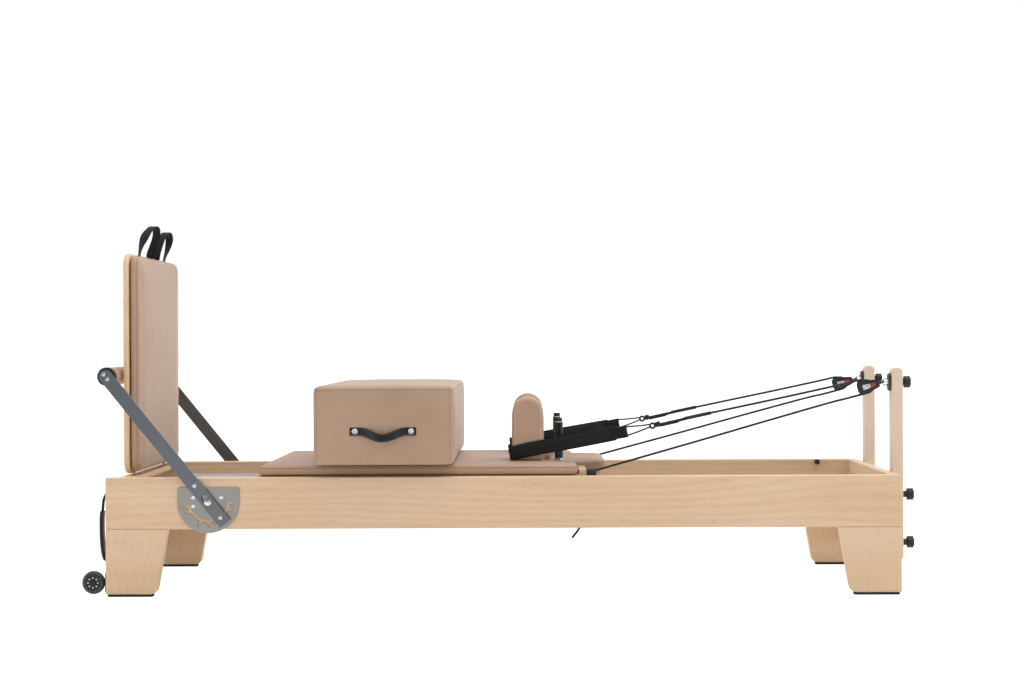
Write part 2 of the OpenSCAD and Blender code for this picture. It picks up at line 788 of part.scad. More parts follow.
module shoulder_rest(side) in_row() color(vinyl) {
    round_top = shoulder_thickness / 2;
    foot = pad_top + gap;
    translate([shoulder_x, side * shoulder_offset, 0]) {
        along_y(-shoulder_width / 2, shoulder_width / 2) {
            translate([-round_top, foot]) square([shoulder_thickness, shoulder_height - round_top]);
            translate([0, foot + shoulder_height - round_top]) circle(r = round_top, $fn = 96);
        }
        translate([-shoulder_x, 0, 0]) shoulder_pins(shoulder_pin_radius, base_bottom + 4, foot + 1);
    }
}

module shoulder_rest_left() shoulder_rest(LEFT);
module shoulder_rest_right() shoulder_rest(RIGHT);

module strap_posts() in_row() color(black)
    for (side = SIDES)
        translate([post_x, side * post_y, 0]) {
            rod_z(post_radius, base_top, pad_top + post_height);
            rod_z(stud_radius, base_bottom + 2, base_top + 1);
        }

module rope_cleats() in_row() color(black)
    for (side = SIDES)
        side_slab(side, cleat_y - 11, cleat_y + 11)
            polygon([
                [base_end, base_bottom + 8], [base_end + 24, base_bottom + 8],
                [base_end + 32, base_bottom + 18], [base_end + 30, base_top + 8],
                [base_end + 16, base_top + 15], [base_end, base_top + 13]
            ]);

// Sitting box: hollow, as a plywood box is.
module box_body() in_row() color(vinyl)
    translate([box_start + box_depth / 2, 0, box_floor]) difference() {
        linear_extrude(box_height) round_rect(box_depth, box_width, box_corner);
        translate([0, 0, box_wall])
            linear_extrude(box_height - 2 * box_wall)
                square([box_depth - 2 * box_wall, box_width - 2 * box_wall], center = true);
    }

module box_handles() in_row() {
    middle = box_start + box_depth / 2;
    face = box_width / 2;
    reach = box_handle_half + 14;
    for (side = SIDES) {
        route = [
            for (t = [-1:0.125:1])
                let (bow = 0.5 + 0.5 * cos(180 * min(1, abs(t) * 1.25)))
                [middle + reach * t, side * (face + 2 + 24 * bow), box_handle_z - 16 * bow]
        ];
        color(black) band(route, 19, 3, [0, 0, 1]);
        color(bright)
            for (x = [-1, 1])
                translate([middle + x * box_handle_half, 0, box_handle_z])
                    side_rod(side, 6, face + 3, face + 6);
    }
}

// Risers

module riser(side) in_row() color(maple) difference() {
    bevel = 8;
    slack = stud_radius + 0.5;
    translate([0, side * riser_offset, 0])
        intersection() {
            translate([riser_x, -riser_width / 2, riser_bottom])
                cube([riser_thickness, riser_width, riser_top - riser_bottom]);
            along_y(-riser_width / 2, riser_width / 2)
                polygon([
                    [riser_x, riser_bottom], [riser_face, riser_bottom],
                    [riser_face, riser_top - bevel], [riser_face - bevel, riser_top],
                    [riser_x + bevel, riser_top], [riser_x, riser_top - bevel]
                ]);
        }
    slot_ends = [clamp_z[1], clamp_z[0] + riser_travel];
    translate([riser_x - 1, side * riser_offset - slack, slot_ends[0]])
        cube([riser_thickness + 2, 2 * slack, slot_ends[1] - slot_ends[0]]);
    for (z = slot_ends) translate([0, side * riser_offset, z]) rod_x(slack, riser_x - 1, riser_face + 1);
    translate([0, side * riser_offset, mount_z])
        rod_x(stud_radius + running_fit, riser_x - 1, riser_face + 1);
}

module riser_left() riser(LEFT);
module riser_right() riser(RIGHT);

module pulley_mount(side) in_row() color(steel)
    translate([0, side * sheave_centre[1], mount_z]) {
        translate([riser_x - mount_thickness, 0, 0])
            rotate([90, 0, 90]) linear_extrude(mount_thickness) round_rect(26, 54, 8);
        translate([swivel_x + eye_radius, 0, 0]) rotate([90, 0, 0]) ring(eye_radius, eye_wire);
        translate([swivel_x, 0, 0]) rod_z(eye_wire + 0.3, -5, 5);
    }

module pulley_mount_left() pulley_mount(LEFT);
module pulley_mount_right() pulley_mount(RIGHT);

// A pulley block: drawn along +X from its swivel, then turned down towards the carriage.
module at_swivel(side)
    translate([swivel_x, side * sheave_centre[1], mount_z]) rotate([0, 180 - block_angle, 0]) children();

module pulley_cheeks(side) in_row() color(black)
    at_swivel(side) {
        translate([eye_wire + 1.5, 0, 0]) ring(eye_radius, eye_wire);
        for (s = SIDES)
            side_slab(s, sheave_half + gap, cheek_outer)
                hull() {
                    translate([block_length, 0]) circle(r = cheek_radius, $fn = 32);
                    translate([20, 0]) circle(r = 8, $fn = 32);
                }
        translate([14, -cheek_outer, -6]) cube([9, 2 * cheek_outer, 12]);
        translate([block_length, 0, 0])
            rod_y(stud_radius, -cheek_outer - 1.5, cheek_outer + 1.5);
    }

module pulley_cheeks_left() pulley_cheeks(LEFT);
module pulley_cheeks_right() pulley_cheeks(RIGHT);

module sheave(side) in_row() color(black)
    at_swivel(side) translate([block_length, 0, 0]) rotate([90, 0, 0])
        difference() {
            cylinder(r = sheave_radius, h = 2 * sheave_half, center = true, $fn = 96);
            rotate_extrude($fn = 96) translate([rope_bend_radius, 0]) circle(r = rope_radius + gap, $fn = 32);
            rotate_extrude($fn = 96)
                translate([rope_bend_radius, -rope_radius - gap])
                    square([10, 2 * (rope_radius + gap)]);
            cylinder(r = stud_radius + running_fit, h = 3 * sheave_half, center = true, $fn = 48);
        }

module sheave_left() sheave(LEFT);
module sheave_right() sheave(RIGHT);

// A lobed knob on its stud, with the stem's foot at x = 0 and the stud reaching back.
module knob(stem, stud) {
    rod_x(stud_radius, -stud, 2);
    lobe = 5.5;
    rod_x(knob_stem, 0, stem + 1);
    translate([stem, 0, 0]) rotate([0, 90, 0]) linear_extrude(knob_head) {
        circle(r = knob_radius - 4, $fn = 64);
        for (a = [0:60:300]) rotate(a) translate([knob_radius - lobe, 0]) circle(r = lobe, $fn = 32);
    }
}

module clamp_knob(side, z) in_row() color(black)
    translate([riser_face + gap, side * riser_offset, z])
        knob(clamp_stem_length, riser_thickness + gap + end_board_thickness - 8);

module riser_knob(side) in_row() color(black)
    translate([riser_face + gap, side * riser_offset, mount_z])
        knob(riser_stem_length, riser_thickness - 1);

module riser_knob_left() riser_knob(LEFT);
module riser_knob_right() riser_knob(RIGHT);
module clamp_knob_left_upper() clamp_knob(LEFT, clamp_z[0]);
module clamp_knob_left_lower() clamp_knob(LEFT, clamp_z[1]);
module clamp_knob_right_upper() clamp_knob(RIGHT, clamp_z[0]);
module clamp_knob_right_lower() clamp_knob(RIGHT, clamp_z[1]);

// Transport wheels: each turns on an axle that stands out of a one-sided bracket on the leg's end.
module wheel_brackets() in_row() color(black)
    for (side = SIDES) {
        inner = wheel_y - wheel_width / 2 - 4;
        outer = wheel_y + wheel_width / 2;
        side_slab(side, inner, wheel_y + 12) translate([-4, 14]) square([4, 58]);
        side_slab(side, inner, inner + 3) {
            translate([-wheel_reach, wheel_z - 10]) square([wheel_reach - 1, 20]);
            translate([-wheel_reach, wheel_z]) circle(r = 10, $fn = 48);
        }
        translate([-wheel_reach, 0, wheel_z]) {
            side_rod(side, wheel_axle_radius, inner + 1, outer + 2);
            side_rod(side, wheel_axle_radius + 2, outer + 0.6, outer + 3);
        }
    }

module wheel_hub(side) in_row() color(black)
    translate([-wheel_reach, side * wheel_y, wheel_z]) rotate([90, 0, 0]) difference() {
        cylinder(r = hub_radius, h = wheel_width - 4, center = true, $fn = 96);
        cylinder(r = wheel_axle_radius + running_fit, h = wheel_width, center = true, $fn = 48);
        for (a = [0:36:324]) rotate(a) translate([hub_radius - 5, 0, 0])
            cylinder(r = 2.8, h = wheel_width, center = true, $fn = 24);
    }

module wheel_hub_left() wheel_hub(LEFT);
module wheel_hub_right() wheel_hub(RIGHT);

module wheel_tyre(side) in_row() color(rubber)
    translate([-wheel_reach, side * wheel_y, wheel_z]) rotate([90, 0, 0])
        rotate_extrude($fn = 96) {
            bulge = wheel_width / 2;
            translate([hub_radius, 1 - bulge])
                square([wheel_radius - bulge - hub_radius + 4, 2 * bulge - 2]);
            intersection() {
                translate([wheel_radius - bulge, 0]) circle(r = bulge, $fn = 48);
                translate([hub_radius, -bulge]) square([wheel_radius, 2 * bulge]);
            }
        }

module wheel_tyre_left() wheel_tyre(LEFT);
module wheel_tyre_right() wheel_tyre(RIGHT);

// Carrying straps on the foot end: webbing from the board to the board, with a padded grip.
module end_straps() in_row() color(black)
    for (side = SIDES)
        translate([0, side * strap_grip_y, 0]) {
            band(end_strap_route, strap_grip_width, strap_thickness, [0, 1, 0]);
            for (z = [312, 82])
                translate([-3.6, -strap_grip_width / 2, z - 14]) cube([3.6, strap_grip_width, 28]);
        }

// Hand straps and ropes

// A strap's plan is centred on its shoulder rest, and past the post it drifts out to its tip.
strap_slope = (strap_tip[2] - strap_low[2]) / (strap_tip[0] - strap_low[0]);
strap_drift = (strap_tip[1] - shoulder_offset) / (strap_tip[0] - strap_bend_x);
function on_strap(p, side) = [
    p[0],
    side * (shoulder_offset + strap_drift * max(0, p[0] - strap_bend_x)) + p[1],
    strap_low[2] + (p[0] - strap_low[0]) * strap_slope
];

module rod_between(a, b, r) {
    d = b - a;
    translate(a)
        rotate([0, acos(d[2] / norm(d)), atan2(d[1], d[0])]) cylinder(r = r, h = norm(d), $fn = 16);
}

module hand_straps() in_row() color(black)
    for (side = SIDES) {
        route = [for (p = rounded(rounded(strap_loop))) on_strap(p, side)];
        band(route, strap_width, strap_thickness, [0, 0, 1], closed = true);
        tip = [strap_tip[0] + 1, side * strap_tip[1], strap_tip[2]];
        ring_at = [strap_ring[0], side * strap_ring[1], strap_ring[2]];
        for (z = [-16, 16])
            rod_between(tip + [-2, 0, z], ring_at + [-8, 0, z / 8], 2);
        translate(ring_at) rotate([90, 0, 0]) ring(8.5, 2.5);
    }

module ropes() in_row() color(black)
    for (side = SIDES) tube([for (p = rope_route) [p[0], side * p[1], p[2]]], rope_radius, rope_sides);

side_rail_left();
side_rail_right();
foot_end_board();
head_end_board();
foot_platform();
legs();
rubber_feet();
tracks();
spring_bar();
bumpers();
quadrant_plates();
frame_screws();
wheel_brackets();
end_straps();
springs();
riser_left();
riser_right();
pulley_mount_left();
pulley_mount_right();
pulley_cheeks_left();
pulley_cheeks_right();
sheave_left();
sheave_right();
riser_knob_left();
riser_knob_right();
clamp_knob_left_upper();
clamp_knob_left_lower();
clamp_knob_right_upper();
clamp_knob_right_lower();
wheel_hub_left();
wheel_hub_right();
wheel_tyre_left();
wheel_tyre_right();
foot_bar_slides();
foot_bar_arms();
foot_bar_tube();
foot_bar_pad();
foot_bar_caps();
foot_bar_bolts();
jump_board_panel();
jump_board_pad();
jump_board_pins();
jump_board_loops();
carriage_base();
carriage_pad();
carriage_brackets();
roller_foot_left();
roller_foot_right();
roller_head_left();
roller_head_right();
headrest_base();
headrest_pad();
shoulder_rest_left();
shoulder_rest_right();
strap_posts();
rope_cleats();
box_body();
box_handles();
hand_straps();
ropes();
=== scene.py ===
import math

import bmesh
import bpy
import numpy as np
from mathutils import Matrix, Vector


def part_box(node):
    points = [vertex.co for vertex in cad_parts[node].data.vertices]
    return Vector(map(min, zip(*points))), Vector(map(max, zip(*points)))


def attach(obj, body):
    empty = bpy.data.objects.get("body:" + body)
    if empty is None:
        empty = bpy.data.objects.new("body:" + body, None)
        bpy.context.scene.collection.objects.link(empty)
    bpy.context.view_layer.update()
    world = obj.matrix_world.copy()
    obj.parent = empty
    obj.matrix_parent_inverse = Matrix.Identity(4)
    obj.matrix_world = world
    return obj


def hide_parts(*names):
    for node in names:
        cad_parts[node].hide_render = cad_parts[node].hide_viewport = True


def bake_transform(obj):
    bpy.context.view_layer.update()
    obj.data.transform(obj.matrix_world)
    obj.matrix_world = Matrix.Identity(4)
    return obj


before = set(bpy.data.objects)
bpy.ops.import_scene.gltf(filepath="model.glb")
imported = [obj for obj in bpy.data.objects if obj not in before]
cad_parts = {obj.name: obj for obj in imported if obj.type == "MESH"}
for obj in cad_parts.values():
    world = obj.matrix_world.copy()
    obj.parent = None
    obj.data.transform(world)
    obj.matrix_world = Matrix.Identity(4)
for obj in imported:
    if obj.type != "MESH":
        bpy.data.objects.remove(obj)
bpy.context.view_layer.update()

LEFT, RIGHT = -1, 1
SIDES = {"left": LEFT, "right": RIGHT}
foot_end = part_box("side_rail_left")[0][0]


def at(x, y, z):
    """A place in the row, from its distance past the foot end, across, and above the floor."""
    return Vector((foot_end + x, y, z))


# Shader arithmetic


class Signal:
    """A socket that Python's own arithmetic works on; each operation adds its Math node."""

    def __init__(self, finish, socket):
        self.finish = finish
        self.socket = socket

    def math(self, operation, *values):
        sockets = dict(enumerate(values))
        return self.finish.node("ShaderNodeMath", {"operation": operation}, sockets)

    def __add__(self, other):
        return self.math("ADD", self, other)

    def __sub__(self, other):
        return self.math("SUBTRACT", self, other)

    def __mul__(self, other):
        return self.math("MULTIPLY", self, other)

    __radd__ = __add__
    __rmul__ = __mul__

    def sine(self):
        return self.math("SINE", self)

    def between(self, low, high):
        """0 below low, 1 above high, and a smooth step from one to the other."""
        settings = {"interpolation_type": "SMOOTHSTEP"}
        sockets = {"Value": self, "From Min": low, "From Max": high}
        return self.finish.node("ShaderNodeMapRange", settings, sockets)


class Finish:
    """One procedural material, and the ways to add nodes to it."""

    def __init__(self, name, **constants):
        self.material = bpy.data.materials.new(name)
        self.material.use_nodes = True
        self.tree = self.material.node_tree
        self.tree.nodes.clear()
        output = self.tree.nodes.new("ShaderNodeOutputMaterial")
        self.shader = self.tree.nodes.new("ShaderNodeBsdfPrincipled")
        self.tree.links.new(self.shader.outputs[0], output.inputs["Surface"])
        self.constant(**constants)

    def constant(self, **values):
        for name, value in values.items():
            self.shader.inputs[name.replace("_", " ")].default_value = value

    def feed(self, socket, value):
        if isinstance(value, Signal):
            self.tree.links.new(value.socket, socket)
        elif hasattr(socket.default_value, "__len__") and len(value) == 3 and len(socket.default_value) == 4:
            socket.default_value = (*value, 1)
        else:
            socket.default_value = value

    def node(self, kind, settings, sockets, output=0):
        made = self.tree.nodes.new(kind)
        for name, value in settings.items():
            if name == "stops":
                self.set_stops(made.color_ramp, value)
            else:
                setattr(made, name, value)
        for name, value in sockets.items():
            self.feed(made.inputs[name], value)
        return Signal(self, made.outputs[output])

    @staticmethod
    def set_stops(ramp, stops):
        while len(ramp.elements) < len(stops):
            ramp.elements.new(0.5)
        for element, (place, colour) in zip(ramp.elements, stops):
            element.position = place
            element.color = (*colour, 1)

    def place(self, scale=(1, 1, 1), turn=(0, 0, 0), source="Object", offset=(0, 0, 0)):
        """The piece's own coordinates, turned and scaled."""
        where = self.node("ShaderNodeTexCoord", {}, {}, source)
        sockets = {"Vector": where, "Scale": scale, "Rotation": turn, "Location": offset}
        return self.node("ShaderNodeMapping", {"vector_type": "POINT"}, sockets)

    def axis(self, place, name):
        return self.node("ShaderNodeSeparateXYZ", {}, {"Vector": place}, name)

    def noise(self, place, scale, detail=2.0, roughness=0.5, distortion=0.0):
        sockets = {
            "Vector": place, "Scale": scale, "Detail": detail,
            "Roughness": roughness, "Distortion": distortion,
        }
        return self.node("ShaderNodeTexNoise", {}, sockets)

    def cells(self, place, scale, feature="F1"):
        sockets = {"Vector": place, "Scale": scale}
        return self.node("ShaderNodeTexVoronoi", {"feature": feature}, sockets)

    def mix(self, share, a, b):
        """Colour b over colour a, by share."""
        return self.node("ShaderNodeMix", {"data_type": "RGBA"}, {0: share, 6: a, 7: b}, 2)

    def colour(self, value):
        self.feed(self.shader.inputs["Base Color"], value)

    def roughness(self, value):
        self.feed(self.shader.inputs["Roughness"], value)

    def relief(self, height, distance, strength=1.0):
        """Fine relief of height from 0 to 1, over distance in metres."""
        sockets = {"Height": height, "Distance": distance, "Strength": strength}
        self.feed(self.shader.inputs["Normal"], self.node("ShaderNodeBump", {}, sockets))


# Finishes


def lacquered_maple(name, grain, pale, dark, figure=1.0, offset=(0, 0, 0)):
    """Pale wood, with the grain along axis 0, 1 or 2: slow figure, fibres, and short dark flecks."""
    wood = Finish(name, Coat_Weight=0.08, Coat_Roughness=0.3, Specular_IOR_Level=0.35)
    turn = {0: (0, 0, 0), 1: (0, 0, math.radians(-90)), 2: (0, math.radians(90), 0)}[grain]
    board = wood.place(turn=turn, offset=offset)
    slow = wood.noise(wood.place((0.8, 4.0, 4.0), turn, offset=offset), 2.2, 3, 0.55)
    bend = wood.noise(wood.place((0.5, 3.0, 3.0), turn, offset=offset), 1.6, 2, 0.5)
    across = wood.axis(board, "Y") + wood.axis(board, "Z") * 0.75
    rings = ((across + (bend - 0.5) * 0.11) * 330).sine() * 0.5 + 0.5
    fibre = wood.noise(wood.place((1.6, 42.0, 42.0), turn, offset=offset), 9.0, 4, 0.7)
    fleck = wood.noise(wood.place((4.2, 60.0, 60.0), turn, offset=offset), 5.5, 2, 0.6)
    dash = fleck.between(0.60, 0.72) * rings.between(0.25, 0.9)
    tone = slow * 0.46 + rings * 0.09 * figure + fibre * 0.45
    body = wood.mix(tone.between(0.25, 0.80), pale, dark)
    fleck_colour = tuple(c * k for c, k in zip(dark, (0.66, 0.56, 0.46)))
    wood.colour(wood.mix(dash * 0.5 * figure, body, fleck_colour))
    wood.roughness(fibre * 0.16 + 0.38)
    wood.relief(fibre * 0.6 - dash * 0.4, 0.00012, 0.6)
    return wood


def leatherette(name, light, dark):
    """Soft tan upholstery: a fine pebbled grain, and slow changes of tone."""
    skin = Finish(name, Sheen_Weight=0.18, Sheen_Roughness=0.4, Specular_IOR_Level=0.42)
    place = skin.place()
    pebble = skin.cells(place, 780.0, "SMOOTH_F1")
    crease = skin.noise(place, 260.0, 3, 0.6)
    drift = skin.noise(place, 5.0, 2, 0.5)
    tone = drift * 0.7 + crease * 0.3
    skin.colour(skin.mix(tone.between(0.3, 0.7), light, dark))
    skin.roughness(crease * 0.14 + 0.44)
    skin.relief(pebble * 0.6 + crease * 0.4, 0.00022, 0.55)
    return skin


def brushed_metal(name, colour, tilt, rough=0.3):
    """Steel brushed along X, turned by tilt degrees about Y."""
    metal = Finish(name, Metallic=1.0)
    turn = (0, math.radians(tilt), 0)
    lines = metal.noise(metal.place((3.0, 900.0, 900.0), turn), 1.0, 3, 0.7)
    cloud = metal.noise(metal.place((1, 1, 1)), 14.0, 2, 0.5)
    shade = tuple(c * 0.72 for c in colour)
    metal.colour(metal.mix(lines * 0.55 + cloud * 0.3, colour, shade))
    metal.roughness(lines * 0.16 + cloud * 0.08 + (rough - 0.1))
    metal.relief(lines, 0.00004, 0.5)
    return metal


def plated(name, colour, rough=0.2):
    """Bright plated steel, a little cloudy."""
    metal = Finish(name, Metallic=1.0)
    cloud = metal.noise(metal.place(), 90.0, 3, 0.6)
    metal.colour(metal.mix(cloud, colour, tuple(c * 0.82 for c in colour)))
    metal.roughness(cloud * 0.14 + (rough - 0.05))
    metal.relief(cloud, 0.00003, 0.4)
    return metal


def moulded(name, colour, rough=0.42, grain=1400.0):
    """Moulded plastic or rubber with a fine even texture, worn slightly paler in patches."""
    plastic = Finish(name, Specular_IOR_Level=0.45)
    place = plastic.place()
    fine = plastic.noise(place, grain, 2, 0.6)
    worn = plastic.noise(place, 35.0, 3, 0.6)
    pale = tuple(min(1, c * 1.9 + 0.012) for c in colour)
    plastic.colour(plastic.mix(worn.between(0.45, 0.85) * 0.6, colour, pale))
    plastic.roughness(worn * 0.16 + (rough - 0.06))
    plastic.relief(fine, 0.00006, 0.5)
    return plastic


def woven_webbing(name, colour):
    """Flat webbing: the UV map runs across and along the strap, in metres."""
    web = Finish(name, Sheen_Weight=0.06, Sheen_Roughness=0.5, Specular_IOR_Level=0.22)
    place = web.place(source="UV")
    across = web.axis(place, "X") * (2 * math.pi / 0.0022)
    along = web.axis(place, "Y") * (2 * math.pi / 0.0030)
    thread = (across + along).sine() * (across - along).sine()
    fuzz = web.noise(web.place(), 900.0, 2, 0.7)
    pale = tuple(c * 1.7 + 0.003 for c in colour)
    web.colour(web.mix(thread * 0.3 + fuzz * 0.4, colour, pale))
    web.roughness(fuzz * 0.15 + 0.66)
    web.relief(thread * 0.5 + fuzz * 0.3, 0.0004, 0.7)
    return web


def braided_cord(name, colour):
    """Braided rope: the UV map runs round and along it, in turns and metres."""
    rope = Finish(name, Sheen_Weight=0.15, Specular_IOR_Level=0.35)
    place = rope.place(source="UV")
    around = rope.axis(place, "X") * (2 * math.pi * 4)
    along = rope.axis(place, "Y") * (2 * math.pi / 0.011)
    strand = (around + along).sine() * (around - along).sine()
    fuzz = rope.noise(rope.place(), 1100.0, 2, 0.6)
    pale = tuple(c * 2.8 + 0.01 for c in colour)
    rope.colour(rope.mix(strand * 0.35 + fuzz * 0.35, colour, pale))
    rope.roughness(fuzz * 0.2 + 0.5)
    rope.relief(strand * 0.5 + 0.5, 0.0007, 0.8)
    return rope


def paint_finishes():
    pale, warm = (0.82, 0.605, 0.405), (0.68, 0.455, 0.265)
    tan, brown = (0.475, 0.315, 0.215), (0.425, 0.275, 0.183)
    return {
        "maple_long": lacquered_maple("maple_along_rail", 0, pale, warm),
        "maple_cross": lacquered_maple("maple_across", 1, pale, warm, offset=(0.3, 1.1, 0.2)),
        "maple_up": lacquered_maple("maple_upright", 2, pale, warm, 0.5, (0.7, 0.2, 1.4)),
        # The risers' maple is a paler, cooler copy of the rails' maple: painted light, for the cool key light
        # that falls on the head end.
        "maple_riser": lacquered_maple(
            "maple_riser", 2, (0.82, 0.66, 0.51), (0.72, 0.55, 0.41), 0.4, (0.2, 0.9, 0.6)
        ),
        "maple_panel": lacquered_maple("maple_panel", 2, (0.84, 0.60, 0.37), (0.72, 0.46, 0.25), 0.5),
        "plywood": lacquered_maple("birch_plywood", 1, (0.72, 0.52, 0.34), (0.55, 0.36, 0.21), 0.7),
        "leatherette": leatherette("tan_leatherette", tan, brown),
        "piping": leatherette("tan_piping", (0.60, 0.44, 0.33), (0.52, 0.37, 0.26)),
        "seam": leatherette("tan_seam", (0.30, 0.19, 0.13), (0.24, 0.15, 0.10)),
        "cleat_grey": moulded("cleat_grey", (0.030, 0.034, 0.042), 0.35),
        "arm_steel": brushed_metal("brushed_arm_steel", (0.21, 0.225, 0.242), 51),
        "plate_steel": brushed_metal("brushed_plate_steel", (0.47, 0.45, 0.41), 0, 0.42),
        "bright_steel": plated("bright_steel", (0.80, 0.80, 0.81)),
        "spring_steel": plated("spring_steel", (0.55, 0.56, 0.58), 0.3),
        "track_alloy": moulded("dull_track", (0.115, 0.090, 0.068), 0.62),
        "bronze_plate": moulded("dark_mount_plate", (0.045, 0.034, 0.028), 0.4),
        "black_plastic": moulded("black_plastic", (0.016, 0.017, 0.019)),
        "post_black": moulded("black_post", (0.012, 0.013, 0.015), 0.26),
        "rubber": moulded("black_rubber", (0.022, 0.021, 0.021), 0.7, 900.0),
        "tyre": moulded("smoked_wheel_tyre", (0.05, 0.05, 0.053), 0.22, 700.0),
        "label_grey": moulded("pulley_side_grey", (0.52, 0.53, 0.55), 0.35),
        "label_red": moulded("pulley_side_red", (0.42, 0.035, 0.03), 0.4),
        "wheel_light": moulded("wheel_spoke_light", (0.55, 0.56, 0.58), 0.35),
        "webbing": woven_webbing("black_webbing", (0.010, 0.010, 0.012)),
        "strap_leather": moulded("black_leather", (0.014, 0.014, 0.016), 0.38, 500.0),
        "rope": braided_cord("black_rope", (0.010, 0.011, 0.013)),
        "thread": moulded("black_thread", (0.045, 0.045, 0.05), 0.6),
    }


FINISHES = paint_finishes()


# Making pieces


def new_object(name, mesh, finish):
    piece = bpy.data.objects.new(name, mesh)
    bpy.context.scene.collection.objects.link(piece)
    if finish:
        mesh.materials.clear()
        mesh.materials.append(FINISHES[finish].material)
    return piece


def make(name, points, faces, finish, smooth=True):
    mesh = bpy.data.meshes.new(name)
    mesh.from_pydata([tuple(p) for p in points], [], faces)
    mesh.validate()
    if smooth:
        mesh.shade_smooth()
    return new_object(name, mesh, finish)


def settle(piece):
    """Applies a piece's modifiers, so that it is one plain mesh."""
    graph = bpy.context.evaluated_depsgraph_get()
    graph.update()
    mesh = bpy.data.meshes.new_from_object(piece.evaluated_get(graph), depsgraph=graph)
    piece.modifiers.clear()
    piece.data = mesh
    return piece


def add_modifier(piece, kind, **settings):
    modifier = piece.modifiers.new(kind.lower(), kind)
    for name, value in settings.items():
        setattr(modifier, name, value)
    return modifier


def finish_piece(piece, body, replaced=()):
    """The piece rides on a body, and stands for the nodes that it replaces."""
    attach(piece, body)
    if replaced:
        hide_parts(*replaced)
    return piece


def merged_copy(node, name):
    """A node's mesh with its doubled corners merged and its flat faces whole."""
    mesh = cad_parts[node].data.copy()
    shape = bmesh.new()
    shape.from_mesh(mesh)
    bmesh.ops.remove_doubles(shape, verts=shape.verts, dist=0.00002)
    bmesh.ops.dissolve_limit(shape, angle_limit=math.radians(1.0), verts=shape.verts, edges=shape.edges)
    shape.to_mesh(mesh)
    shape.free()
    for layer in list(mesh.color_attributes):
        mesh.color_attributes.remove(layer)
    mesh.name = name
    return mesh


def eased(node, name, body, ease, finish, segments=3, angle=32):
    """A node with its sharp edges rounded off, as sanding or moulding leaves them."""
    piece = new_object(name, merged_copy(node, name), finish)
    piece.data.shade_smooth()
    add_modifier(
        piece, "BEVEL", width=ease, segments=segments, limit_method="ANGLE",
        angle_limit=math.radians(angle), use_clamp_overlap=False,
    )
    add_modifier(piece, "WEIGHTED_NORMAL", weight=100, keep_sharp=True)
    settle(piece)
    return finish_piece(piece, body, [node])


def smooth_path(points, step):
    """A Catmull-Rom curve through points, with a point about every step metres."""
    points = [Vector(p) for p in points]
    ends = [points[0] * 2 - points[1], *points, points[-1] * 2 - points[-2]]
    path = []
    for i in range(1, len(ends) - 2):
        before, a, b, after = ends[i - 1:i + 3]
        count = max(1, round((b - a).length / step))
        for k in range(count):
            t = k / count
            path.append(0.5 * (
                2 * a + (b - before) * t + (2 * before - 5 * a + 4 * b - after) * t * t
                + (3 * a - before - 3 * b + after) * t ** 3
            ))
    return path + [points[-1]]


def tangents(path, closed=False):
    count = len(path)
    found = []
    for i in range(count):
        if closed:
            found.append((path[(i + 1) % count] - path[i - 1]).normalized())
        else:
            found.append((path[min(i + 1, count - 1)] - path[max(i - 1, 0)]).normalized())
    return found


def circle(centre, radius, step):
    """A closed path round centre, in the plane of X and Z."""
    turns = [math.radians(a) for a in range(0, 361, step)]
    return [centre + radius * Vector((math.cos(a), 0, math.sin(a))) for a in turns]


def path_length(path):
    return sum((b - a).length for a, b in zip(path, path[1:]))


def set_uv(mesh, uv_of_vertex):
    """A UV map from one value for each corner of each face."""
    layer = mesh.uv_layers.new(name="along")
    for loop, uv in zip(layer.data, uv_of_vertex):
        loop.uv = uv


def swept_faces(rows, sides):
    """The faces between rows of sides points each, and the two ends."""
    faces = []
    for i in range(rows - 1):
        for k in range(sides):
            m = (k + 1) % sides
            faces.append((i * sides + k, i * sides + m, (i + 1) * sides + m, (i + 1) * sides + k))
    last = (rows - 1) * sides
    return faces + [tuple(reversed(range(sides))), tuple(range(last, last + sides))]


def tube(name, path, radius, finish, sides=12, round_ends=False):
    """A tube along a path, with a UV map in turns round it and metres along it."""
    path = [Vector(p) for p in path]
    radii = [radius] * len(path)
    if round_ends:
        lead = (path[1] - path[0]).normalized()
        tail = (path[-1] - path[-2]).normalized()
        caps = [(math.cos(math.radians(a)), math.sin(math.radians(a))) for a in (80, 50, 25)]
        path = [path[0] - lead * radius * s for c, s in caps] + path
        path += [path[-1] + tail * radius * s for c, s in reversed(caps)]
        radii = [radius * c for c, s in caps] + radii + [radius * c for c, s in reversed(caps)]
    directions = tangents(path)
    reference = Vector((0, 0, 1)) if abs(directions[0].z) < 0.9 else Vector((0, 1, 0))
    normal = directions[0].cross(reference).normalized()
    points, uvs, lengths = [], [], []
    travelled = 0.0
    for i, (centre, direction) in enumerate(zip(path, directions)):
        normal = (normal - direction * normal.dot(direction)).normalized()
        side = direction.cross(normal)
        travelled += (centre - path[i - 1]).length if i else 0
        lengths.append(travelled)
        for k in range(sides):
            angle = 2 * math.pi * k / sides
            points.append(centre + (normal * math.cos(angle) + side * math.sin(angle)) * radii[i])
    for i in range(len(path) - 1):
        for k in range(sides):
            u0, u1 = k / sides, (k + 1) / sides
            uvs += [(u0, lengths[i]), (u1, lengths[i]), (u1, lengths[i + 1]), (u0, lengths[i + 1])]
    uvs += [(0, 0)] * sides + [(0, lengths[-1])] * sides
    mesh = bpy.data.meshes.new(name)
    mesh.from_pydata([tuple(p) for p in points], [], swept_faces(len(path), sides))
    mesh.shade_smooth()
    set_uv(mesh, uvs)
    return new_object(name, mesh, finish)


